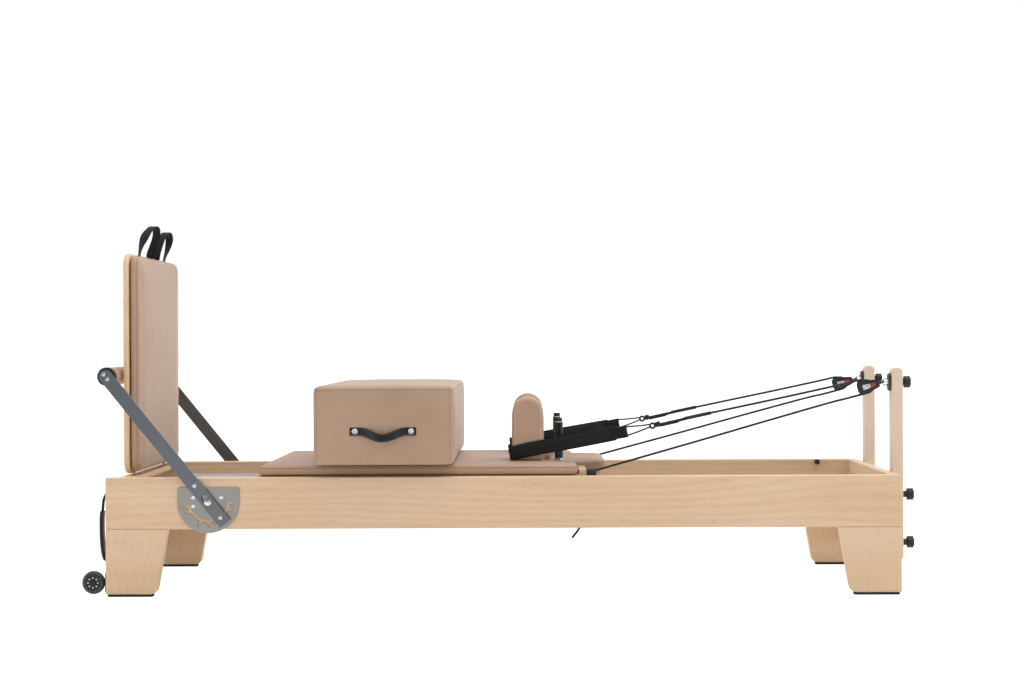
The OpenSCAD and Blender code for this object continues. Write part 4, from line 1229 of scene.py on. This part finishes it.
def upholster_box():
    low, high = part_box("box_body")
    inset = 0.0015
    outline = rounded_rect(
        (low.x + inset, low.y + inset), (high.x - inset, high.y - inset), 0.013, 5)
    blank = soften(prism("box_cover", outline, low.z, high.z - inset, 2, None), 0.010, 4, 50)
    edges = near_edges(low, high, 0.014)
    cover = upholster(
        blank, "sitting_box", ["box_body"], lambda p: edges(p) or p.z < low.z + 0.004, 0.0045, 0.0075,
        flat=keep_flat(2, low.z),
    )
    drop, reach = 0.012, 0.011
    for x, word in ((high.x - reach, "head"), (low.x + reach, "foot")):
        for hand, y in (("left", low.y), ("right", high.y)):
            line = [(x, y, low.z + 0.003), (x, y, high.z - 0.004)]
            seam(f"box_seam_{word}_{hand}", cover, line, "sitting_box", 0.0009, closed=False)
    for hand, y in (("left", low.y + 0.034), ("right", high.y - 0.034)):
        line = [(high.x + 0.01, y, low.z + 0.003), (high.x + 0.01, y, high.z - 0.004)]
        seam(f"box_end_seam_{hand}", cover, line, "sitting_box", 0.0009, closed=False)
    outline = rounded_rect((low.x, low.y), (high.x, high.y), 0.012, 4)
    seam("box_top_seam", cover, [(x, y, high.z - drop) for x, y in outline], "sitting_box", 0.0009)


def upholster_jump_board():
    low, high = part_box("jump_board_pad")
    outline = rounded_rect((low.y + 0.001, low.z + 0.001), (high.y - 0.001, high.z - 0.001), 0.036, 8)
    blank = soften(prism("jump_cushion", outline, low.x, high.x - 0.003, 0, None), 0.009, 4, 50)
    pad = upholster(
        blank, "jump_board", ["jump_board_pad"], lambda p: p.x < low.x + 0.016, 0.004, 0.0065,
        flat=keep_flat(0, low.x),
    )
    line = rounded_rect((low.y, low.z), (high.y, high.z), 0.036, 8)
    seam("jump_cushion_seam", pad, [(high.x - 0.010, y, z) for y, z in line], "jump_board")


def upholster_bar():
    """The padded grip, whose cover narrows a little towards its ends, with one long seam underneath."""
    low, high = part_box("foot_bar_pad")
    middle = (low + high) / 2
    radius = (high.z - low.z) / 2
    half = (high.y - low.y) / 2
    rows = [half - 0.0002, half - 0.0012, half - 0.004, half - 0.010, half - 0.022]
    rows += list(np.arange(half - 0.034, 0.006, -0.012))
    shape = {rows[0]: 0.955, rows[1]: 0.968, rows[2]: 0.978, rows[3]: 0.986, rows[4]: 0.994}
    places = [-r for r in rows] + [0.0] + list(reversed(rows))
    profile = [(y, radius * shape.get(abs(y), 0.997 + 0.003 * math.cos(abs(y) * 60))) for y in places]
    grip = lathe("foot_bar_grip", profile, middle, 1, "leatherette", 48)
    finish_piece(grip, "foot_bar", ["foot_bar_pad"])
    below = [(middle.x - 0.02, y, middle.z - 0.03) for y in (-half + 0.002, half - 0.002)]
    seam("foot_bar_grip_seam", grip, below, "foot_bar", 0.0009, closed=False)


# Webbing and leather

JUMP_LOOPS = {
    "near": [
        (0.060, -0.150, -0.022), (0.061, -0.150, 0.006), (0.066, -0.136, 0.042), (0.077, -0.104, 0.078),
        (0.086, -0.066, 0.096), (0.088, -0.038, 0.086), (0.082, -0.020, 0.060), (0.071, -0.015, 0.032),
        (0.062, -0.014, 0.008), (0.060, -0.014, -0.022),
    ],
    "far": [
        (0.060, 0.180, -0.022), (0.063, 0.181, 0.008), (0.073, 0.180, 0.036), (0.082, 0.170, 0.066),
        (0.085, 0.144, 0.086), (0.083, 0.112, 0.088), (0.077, 0.086, 0.070), (0.069, 0.072, 0.038),
        (0.062, 0.068, 0.008), (0.060, 0.068, -0.022),
    ],
}


def smoothstep(low, high, value):
    t = min(1.0, max(0.0, (value - low) / (high - low)))
    return t * t * (3 - 2 * t)


def loop_jump_board():
    """Lifting loops: each lies flat between panel and pad, and twists so that its face shows above them."""
    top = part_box("jump_board_panel")[1][2]
    for word, points in JUMP_LOOPS.items():
        path = smooth_path([at(x, y, top + z) for x, y, z in points], 0.004)
        lengths = [0.0]
        for a, b in zip(path, path[1:]):
            lengths.append(lengths[-1] + (b - a).length)
        across = []
        for done in lengths:
            share = done / lengths[-1]
            twist = smoothstep(0.06, 0.45, share) - smoothstep(0.90, 0.97, share)
            across.append(Vector((math.sin(twist * math.pi / 2), math.cos(twist * math.pi / 2), 0)))
        piece = strap(f"jump_board_loop_{word}", path, across, 0.025, 0.0022, "webbing")
        finish_piece(piece, "jump_board", ["jump_board_loops"])


STRAP_HALF = [
    (1.500, 0.021), (1.440, 0.040), (1.385, 0.055), (1.330, 0.0622), (1.280, 0.0625), (1.240, 0.0622),
    (1.226, 0.0600), (1.2212, 0.052), (1.2205, 0.030),
]
STRAP_LOOP = [*STRAP_HALF, (1.2203, 0.0), *[(x, -y) for x, y in reversed(STRAP_HALF)]]
STRAP_TIP = (1.584, 0.220, 0.488)
STRAP_RING = (1.662, 0.222, 0.505)
STRAP_LOW = 0.4215
SHOULDER_OFFSET = 0.170


def strap_height(x):
    """How high the middle of a hand strap lies, x past the foot end."""
    slope = (STRAP_TIP[2] - 0.423) / (STRAP_TIP[0] - 1.222)
    return max(STRAP_LOW, 0.423 + (x - 1.222) * slope) if x > 1.26 else STRAP_LOW + max(0, x - 1.222) * 0.15


def strap_middle(x):
    share = max(0.0, x - 1.330) / (STRAP_TIP[0] - 1.330)
    return SHOULDER_OFFSET + (STRAP_TIP[1] - SHOULDER_OFFSET) * share


def hang_hand_straps():
    for hand, side in SIDES.items():
        def lay(x, out):
            return at(x, side * strap_middle(x) + out, strap_height(x))
        route = [lay(x, y) for x, y in STRAP_LOOP]
        start = lay(1.548, 0.0022)
        end = lay(1.548, -0.0022)
        path = smooth_path([start, lay(1.530, 0.006), *route, lay(1.530, -0.006), end], 0.005)
        lean = Vector((-0.18, 0, 1)).normalized()
        loop = strap(f"hand_strap_{hand}", path, [lean] * len(path), 0.044, 0.0026, "webbing")
        tip_place = at(STRAP_TIP[0], side * STRAP_TIP[1], STRAP_TIP[2])
        tip = smooth_path([lay(1.502, 0), lay(1.545, 0), tip_place], 0.006)
        sleeve = strap(f"hand_strap_tip_{hand}", tip, [lean] * len(tip), 0.037, 0.0105, "webbing")
        finish_piece(loop, "carriage", ["hand_straps"])
        finish_piece(sleeve, "carriage", ["hand_straps"])
        face = 0.0056
        rows = []
        for x, half in ((1.508, 0.015), (1.514, 0.015), (1.577, 0.015)):
            for out in (face, -face):
                centre = lay(x, out)
                rows.append([centre - lean * half, centre + lean * half])
        sew(f"hand_strap_stitches_{hand}", rows, "carriage")

        ring = at(STRAP_RING[0], side * STRAP_RING[1], STRAP_RING[2])
        tip_end = at(STRAP_TIP[0] - 0.004, side * STRAP_TIP[1], STRAP_TIP[2])
        cords = []
        for k, level in enumerate((0.014, -0.014)):
            begin = tip_end + lean * level
            knee = begin.lerp(ring, 0.5) + Vector((0, 0, level * 0.10))
            near = ring + Vector((-0.0075, 0.002 * (1 - 2 * k), level * 0.25))
            path = smooth_path([begin, knee, near], 0.006)
            cords.append(tube(f"strap_cord_{hand}_{k}", path, 0.0026, "rope", 10))
        finish_piece(join(f"strap_cords_{hand}", cords), "carriage", ["hand_straps"])
        loop = tube(f"strap_ring_{hand}", circle(ring, 0.0075, 15), 0.0034, "post_black", 12)
        finish_piece(loop, "carriage", ["hand_straps"])
        knot = []
        lead = Vector((0.966, 0, 0.258))
        turn = Vector((-0.258, 0, 0.966))
        for k in range(3):
            middle = ring + lead * (0.0125 + 0.0045 * k)
            turns = [math.radians(a) for a in range(0, 361, 24)]
            wrap = [
                middle + (turn * math.cos(a) + Vector((0, 1, 0)) * math.sin(a)) * 0.0060 for a in turns
            ]
            knot.append(tube(f"knot_{hand}_{k}", wrap, 0.0032, "rope", 8))
        finish_piece(join(f"rope_knot_{hand}", knot), "carriage", ["hand_straps"])


END_STRAP = [
    (-0.002, 0.318), (-0.009, 0.316), (-0.020, 0.305), (-0.028, 0.288), (-0.031, 0.262), (-0.033, 0.235),
    (-0.0335, 0.205), (-0.033, 0.175), (-0.031, 0.145), (-0.027, 0.118), (-0.020, 0.098), (-0.010, 0.086),
    (-0.002, 0.082),
]


def hang_end_straps():
    """Carrying straps on the foot end: webbing from tab to tab through a padded grip."""
    for hand, side in SIDES.items():
        y = side * 0.250
        path = smooth_path([at(x, y, z) for x, z in END_STRAP], 0.004)
        web = strap(f"end_strap_{hand}", path, [Vector((0, 1, 0))] * len(path), 0.025, 0.003, "webbing")
        grip_path = [p for p in path if 0.100 < p.z < 0.252]
        grip = strap(
            f"end_strap_grip_{hand}", grip_path, [Vector((0, 1, 0))] * len(grip_path), 0.038, 0.007,
            "strap_leather", belly=0.0012,
        )
        finish_piece(web, "frame", ["end_straps"])
        finish_piece(grip, "frame", ["end_straps"])
        tabs = []
        for k, z in enumerate((0.312, 0.082)):
            outline = rounded_rect((y - 0.0175, z - 0.014), (y + 0.0175, z + 0.014), 0.004, 3)
            back, front = at(-0.0036, 0, 0).x, at(-0.0002, 0, 0).x
            tab = prism(f"end_tab_{hand}_{k}", outline, back, front, 0, "black_plastic")
            tabs.append(soften(tab, 0.0008, 2))
        finish_piece(join(f"end_strap_tabs_{hand}", tabs), "frame", ["end_straps"])
        rows = []
        for edge in (-0.0155, 0.0155):
            rows.append([p + Vector((-0.0052, edge, 0)) for p in grip_path[2:-2]])
        sew(f"end_strap_stitches_{hand}", rows, "frame")


def hang_box_handles():
    low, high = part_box("box_body")
    middle = (low.x + high.x) / 2
    height = low.z + 0.102
    for hand, side in SIDES.items():
        face = side * (high.y - low.y) / 2
        points = []
        for share in [k / 16 for k in range(-16, 17)]:
            reach = abs(share) * 0.099
            bow = 0.0 if reach > 0.074 else 0.5 + 0.5 * math.cos(math.pi * min(1, reach / 0.074))
            points.append(Vector((
                middle + share * 0.099, face + side * (0.0028 + 0.022 * bow), height - 0.019 * bow,
            )))
        path = smooth_path(points, 0.004)
        piece = strap(
            f"box_handle_{hand}", path, [Vector((0, side * -0.15, 1))] * len(path), 0.025, 0.0036,
            "strap_leather",
        )
        finish_piece(piece, "sitting_box", ["box_handles"])
        rows = []
        out = Vector((0, side * 0.0022, 0))
        for edge in (-0.0098, 0.0098):
            rows.append([p + out + Vector((0, 0, edge)) for p in path[10:-10]])
        sew(f"box_handle_stitches_{hand}", rows, "sitting_box")
        rivets = []
        for k, x in enumerate((-0.084, 0.084)):
            centre = (middle + x, face, height)
            rim = [(0.0045, 0.0088), (0.0056, 0.0086), (0.0062, 0.0078), (0.0058, 0.0062), (0.0050, 0.0056),
                   (0.0052, 0.0046), (0.0068, 0.0036), (0.0076, 0.0018), (0.0078, 0.0004)]
            profile = [(side * d, r) for d, r in [(0.001, 0.0088), *rim]]
            rivet = lathe(f"rivet_{hand}_{k}", profile, centre, 1, "bright_steel", 32)
            if side < 0:
                rivet.data.flip_normals()
            rivets.append(rivet)
        finish_piece(join(f"box_handle_rivets_{hand}", rivets), "sitting_box", ["box_handles"])


# Springs

def hang_springs():
    """Five close-wound springs: a coil, an eye on the spring bar's post, and a hook on the carriage."""
    low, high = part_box("springs")
    bar_x = (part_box("spring_bar")[0][0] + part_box("spring_bar")[1][0]) / 2
    height = (low.z + high.z) / 2
    coil_start, coil_end = at(0.152, 0, 0).x, at(0.528, 0, 0).x
    anchor = at(0.5477, 0, 0).x
    for k in range(5):
        y = 0.080 * (k - 2)
        start = line_piece(f"spring_{k + 1}", [[(coil_start, y, height)]])
        length = coil_end - coil_start
        coil = COILS.grow(start, "spring_steel", Radius=0.0114, Wire=0.0016, Length=length, Turns=98.0)
        finish_piece_blend(coil)
        turns = [math.radians(a) for a in range(20, 341, 16)]
        eye = [Vector((bar_x + 0.0105 * math.cos(a), y + 0.0105 * math.sin(a), height)) for a in turns]
        hook = [*eye, Vector((bar_x + 0.016, y, height)), Vector((coil_start, y + 0.004, height)),
                Vector((coil_start + 0.006, y + 0.010, height))]
        piece = tube(f"spring_eye_{k + 1}", smooth_path(hook, 0.003), 0.0018, "spring_steel", 8)
        finish_piece(piece, "frame", ["springs"])
        tail = [(coil_end - 0.004, y + 0.010, height), (coil_end + 0.003, y + 0.004, height),
                (coil_end + 0.008, y, height), (anchor, y, height)]
        piece = tube(f"spring_tail_{k + 1}", smooth_path(tail, 0.003), 0.0018, "spring_steel", 8)
        finish_piece(piece, "carriage", ["springs"])


def finish_piece_blend(piece):
    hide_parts("springs")
    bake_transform(piece)


# Posts, pulleys and screws

def stand_posts():
    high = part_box("strap_posts")[1]
    for hand, side in SIDES.items():
        centre = (at(1.374, 0, 0).x, side * 0.175, 0)
        base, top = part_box("carriage_base")[1][2] - 0.012, high.z
        pad_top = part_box("carriage_pad")[1][2]
        tube_profile = [(base, 0.0125), (pad_top + 0.012, 0.0125), (pad_top + 0.0125, 0.013)]
        tube_profile += [(top - 0.0140, 0.013), (top - 0.0125, 0.0124), (top - 0.0125, 0.0105)]
        post = lathe(f"strap_post_{hand}", tube_profile, centre, 2, "post_black")
        ring = lathe(
            f"strap_post_ring_{hand}",
            [(top - 0.0128, 0.0106), (top - 0.0128, 0.0126), (top - 0.0118, 0.0128), (top - 0.0112, 0.0122),
             (top - 0.0112, 0.0106)], centre, 2, "bright_steel",
        )
        profile = rounded_profile((top - 0.0113, top), 0.0108, 0.0018)
        cap = lathe(f"strap_post_cap_{hand}", profile, centre, 2, "black_plastic")
        collar = lathe(
            f"strap_post_collar_{hand}", rounded_profile((pad_top - 0.004, pad_top + 0.0055), 0.0148, 0.0012),
            centre, 2, "bright_steel",
        )
        capped = join(f"strap_post_set_{hand}", [post, cap])
        finish_piece(capped, "carriage", ["strap_posts"])
        metal = join(f"strap_post_metal_{hand}", [ring, collar])
        finish_piece(metal, "carriage", ["strap_posts"])


BLOCK_ANGLE = math.radians(16)
BLOCK_DOWN = Vector((-math.cos(BLOCK_ANGLE), 0, -math.sin(BLOCK_ANGLE)))
BLOCK_UP = Vector((-math.sin(BLOCK_ANGLE), 0, math.cos(BLOCK_ANGLE)))
BLOCK_LENGTH = 0.052


def fit_pulleys():
    for hand, side in SIDES.items():
        node = f"pulley_mount_{hand}"
        low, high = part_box(node)
        y = side * 0.200
        height = (low.z + high.z) / 2
        outline = rounded_rect((y - 0.013, height - 0.027), (y + 0.013, height + 0.027), 0.0129, 8)
        plate = prism(f"pulley_plate_{hand}", outline, high.x - 0.009, high.x, 0, "bronze_plate")
        plate = soften(plate, 0.0016)
        finish_piece(plate, f"riser_{hand}", [node])
        pin_x = high.x - 0.009 - 0.017
        eye_centre = Vector((pin_x + 0.010, y, height))
        eye = tube(f"eye_ring_{hand}", circle(eye_centre, 0.010, 12), 0.0025, "bright_steel", 14)
        profile = rounded_profile((-0.005, 0.005), 0.0028, 0.0006)
        pin = lathe(f"eye_pin_{hand}", profile, (pin_x, y, height), 2, "bright_steel", 20)
        profile = [(high.x - 0.013, 0.0052), (high.x - 0.010, 0.0072), (high.x - 0.0088, 0.0074)]
        base = lathe(f"eye_base_{hand}", profile, (0, y, height), 0, "bright_steel", 24)
        finish_piece(join(f"pulley_eye_{hand}", [eye, pin, base]), f"riser_{hand}", [node])

        swivel = Vector((pin_x, y, height))
        for word, out in (("near", -1), ("far", 1)):
            face, label_face = y + out * 0.0099, y + out * 0.0103
            guard = cheek_guard(f"pulley_guard_{hand}_{word}", swivel, y + out * 0.0091, face)
            faces = (face, label_face)
            grey = label(f"pulley_plate_{hand}_{word}", swivel, 0.040, 0.064, 0.0085, *faces, "label_grey")
            red = label(f"pulley_mark_{hand}_{word}", swivel, 0.0235, 0.0385, 0.0070, *faces, "label_red")
            pieces = [guard, grey, red]
            finish_piece(join(f"pulley_side_{hand}_{word}", pieces), f"pulley_{hand}")
            centre = swivel + BLOCK_DOWN * BLOCK_LENGTH
            dome = [(0.0098, 0.0050), (0.0110, 0.0050), (0.0118, 0.0042), (0.0122, 0.0024), (0.0123, 0.0006)]
            profile = [(out * d, r) for d, r in dome]
            centre = (centre.x, y, centre.z)
            rivet = lathe(f"pulley_rivet_{hand}_{word}", profile, centre, 1, "bright_steel", 28)
            if out < 0:
                rivet.data.flip_normals()
            finish_piece(rivet, f"pulley_{hand}")


def cheek_guard(name, swivel, inner, outer):
    """The moulded cover of a cheek: blunt at the swivel, round about the sheave."""
    corners = [(0.0115, -0.0110), (0.0775, -0.0262), (0.0775, 0.0262), (0.0115, 0.0110)]
    outline = []
    for along, up in rounded_outline(corners, [0.003, 0.022, 0.022, 0.003], 8):
        spot = swivel + BLOCK_DOWN * along + BLOCK_UP * up
        outline.append((spot.x, spot.z))
    return prism(name, outline, min(inner, outer), max(inner, outer), 1, "black_plastic")


def label(name, swivel, start, end, half, inner, outer, finish):
    """A small blank plate on a pulley's cheek, in line with the block."""
    corners = [(start, -half * 0.72), (end, -half), (end, half), (start, half * 0.72)]
    outline = []
    for along, up in rounded_outline(corners, [0.002] * 4, 3):
        spot = swivel + BLOCK_DOWN * along + BLOCK_UP * up
        outline.append((spot.x, spot.z))
    return prism(name, outline, min(inner, outer), max(inner, outer), 1, finish)


def screw_shape(name, radius, height, socket):
    """A round screw head with a hexagonal socket, facing +Y."""
    sides = 24
    def hexagon(angle):
        return socket * math.cos(math.pi / 6) / math.cos((angle + math.pi / 6) % (math.pi / 3) - math.pi / 6)
    rings = [
        (0.0, lambda a: radius), (height * 0.6, lambda a: radius), (height * 0.92, lambda a: radius * 0.9),
        (height, lambda a: radius * 0.74), (height, hexagon), (height * 0.35, hexagon),
        (height * 0.25, lambda a: socket * 0.2),
    ]
    points = []
    for depth, reach in rings:
        for k in range(sides):
            angle = 2 * math.pi * k / sides
            r = reach(angle)
            points.append((r * math.cos(angle), depth, -r * math.sin(angle)))
    piece = make(name, points, swept_faces(len(rings), sides), None)
    piece.data.set_sharp_from_angle(angle=math.radians(35))
    return piece


PIVOT = at(0.313, 0, 0.287)  # the foot bar's pivot, on the centre line
ARM_ANGLE = math.radians(51)
ARM_DIRECTION = Vector((-math.cos(ARM_ANGLE), 0, math.sin(ARM_ANGLE)))
LOCK_PIN_REACH = 0.060  # how far past the pivot the lock pin stands on the arm


def drive_screws():
    """Socket heads on the quadrant plates, the pivots and the arms."""
    flush = screw_shape("flush_head", 0.0060, 0.0005, 0.0028)
    small = screw_shape("small_head", 0.0060, 0.0020, 0.0028)
    large = screw_shape("large_head", 0.0078, 0.0036, 0.0038)
    plate_out, arm_out = 0.3440, 0.3526
    plates = [PIVOT + Vector((x, 0, z)) for x, z in ((-0.046, 0.014), (-0.046, -0.012), (0.039, 0.014))]
    bolts = [PIVOT + ARM_DIRECTION * d for d in (0.064, 0.479, 0.497, -LOCK_PIN_REACH)]
    for hand, side in SIDES.items():
        turn = (0, 0, 0) if side > 0 else (math.pi, 0, 0)
        sets = (
            ("plate_screws", plates, plate_out, flush, "frame", "frame_screws"),
            ("arm_bolts", bolts, arm_out, small, "foot_bar", "foot_bar_bolts"),
            ("pivot_bolt", [PIVOT], arm_out, large, "frame", "frame_screws"),
        )
        for word, places, out, shape, body, node in sets:
            spots = line_piece(f"{word}_{hand}", [[(p.x, side * out, p.z)] for p in places])
            heads = COPIES.grow(spots, "bright_steel", Shape=shape, Turn=turn)
            finish_piece(heads, body, [node])
    for shape in (flush, small, large):
        bpy.data.objects.remove(shape)


def turned_pin(name, side, inner, outer, radius, ease, centre, sides):
    """A pin across one side of the frame, between two distances from the centre line."""
    ends = sorted((side * inner, side * outer))
    return lathe(name, rounded_profile(ends, radius, ease), centre, 1, "bright_steel", sides)


def turn_shanks():
    """The bolts' shanks and washers, under their heads."""
    lock_place = tuple(PIVOT - ARM_DIRECTION * LOCK_PIN_REACH)
    for hand, side in SIDES.items():
        lock = turned_pin(f"lock_pin_{hand}", side, 0.3403, 0.3536, 0.004, 0.0006, lock_place, 24)
        finish_piece(lock, "foot_bar", ["foot_bar_bolts"])
        far = 0.3526 if side > 0 else 0.3566
        centre = (PIVOT.x, 0, PIVOT.z)
        bolt = turned_pin(f"pivot_shank_{hand}", side, 0.3400, far, 0.0048, 0.0004, centre, 28)
        washer = turned_pin(f"pivot_washer_{hand}", side, 0.3529, 0.3545, 0.0105, 0.0004, centre, 40)
        finish_piece(join(f"pivot_set_{hand}", [bolt, washer]), "frame", ["frame_screws"])


def trim_wheels():
    """A bright bolt in each transport wheel's hub, and a ring of light spots round it."""
    for hand, side in SIDES.items():
        low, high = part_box(f"wheel_hub_{hand}")
        x, z = (low.x + high.x) / 2, (low.z + high.z) / 2
        face = low.y if side < 0 else high.y
        pieces = []
        for k in range(9):
            angle = 2 * math.pi * k / 8
            reach, radius, finish = (0.0150, 0.0027, "wheel_light") if k < 8 else (0.0, 0.0052, "bright_steel")
            centre = (x + reach * math.cos(angle), 0, z + reach * math.sin(angle))
            proud = 0.0008 if k < 8 else 0.0030
            ends = sorted((face - side * 0.001, face + side * proud))
            profile = rounded_profile(ends, radius, 0.0003)
            pieces.append(lathe(f"wheel_spot_{hand}_{k}", profile, centre, 1, finish, 16))
        finish_piece(join(f"wheel_trim_{hand}", pieces), f"wheel_{hand}")


ease_nodes()
lay_rails()
lay_panel()
upholster_carriage()
upholster_headrest()
upholster_shoulders()
upholster_box()
upholster_jump_board()
upholster_bar()
loop_jump_board()
hang_hand_straps()
hang_end_straps()
hang_box_handles()
hang_springs()
stand_posts()
fit_pulleys()
drive_screws()
turn_shanks()
trim_wheels()


# Finishes of the CAD nodes that show as they are

NODE_FINISHES = {
    "maple_long": ["side_rail_left", "side_rail_right"],
    "maple_cross": ["foot_end_board", "head_end_board", "foot_platform"],
    "maple_up": ["legs"],
    "maple_riser": ["riser_left", "riser_right"],
    "maple_panel": ["jump_board_panel"],
    "plywood": ["carriage_base", "headrest_base"],
    "plate_steel": ["quadrant_plates", "foot_bar_slides", "foot_bar_tube"],
    "arm_steel": ["foot_bar_arms"],
    "bright_steel": [
        "frame_screws", "foot_bar_bolts", "spring_bar", "jump_board_pins", "carriage_brackets",
        "pulley_mount_left", "pulley_mount_right",
    ],
    "spring_steel": ["springs"],
    "track_alloy": ["tracks"],
    "black_plastic": [
        "pulley_cheeks_left", "pulley_cheeks_right", "sheave_left", "sheave_right", "riser_knob_left",
        "riser_knob_right", "clamp_knob_left_upper", "clamp_knob_left_lower", "clamp_knob_right_upper",
        "clamp_knob_right_lower", "wheel_hub_left", "wheel_hub_right", "foot_bar_caps", "rope_cleats",
        "wheel_brackets", "roller_foot_left", "roller_foot_right", "roller_head_left", "roller_head_right",
    ],
    "post_black": ["strap_posts"],
    "rubber": ["rubber_feet", "bumpers"],
    "tyre": ["wheel_tyre_left", "wheel_tyre_right"],
    "webbing": ["end_straps", "jump_board_loops", "hand_straps"],
    "leatherette": [
        "foot_bar_pad", "jump_board_pad", "carriage_pad", "headrest_pad", "shoulder_rest_left",
        "shoulder_rest_right", "box_body",
    ],
    "strap_leather": ["box_handles"],
}


def coat_nodes():
    for finish, nodes in NODE_FINISHES.items():
        for node in nodes:
            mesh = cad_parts[node].data
            mesh.materials.clear()
            mesh.materials.append(FINISHES[finish].material)


coat_nodes()
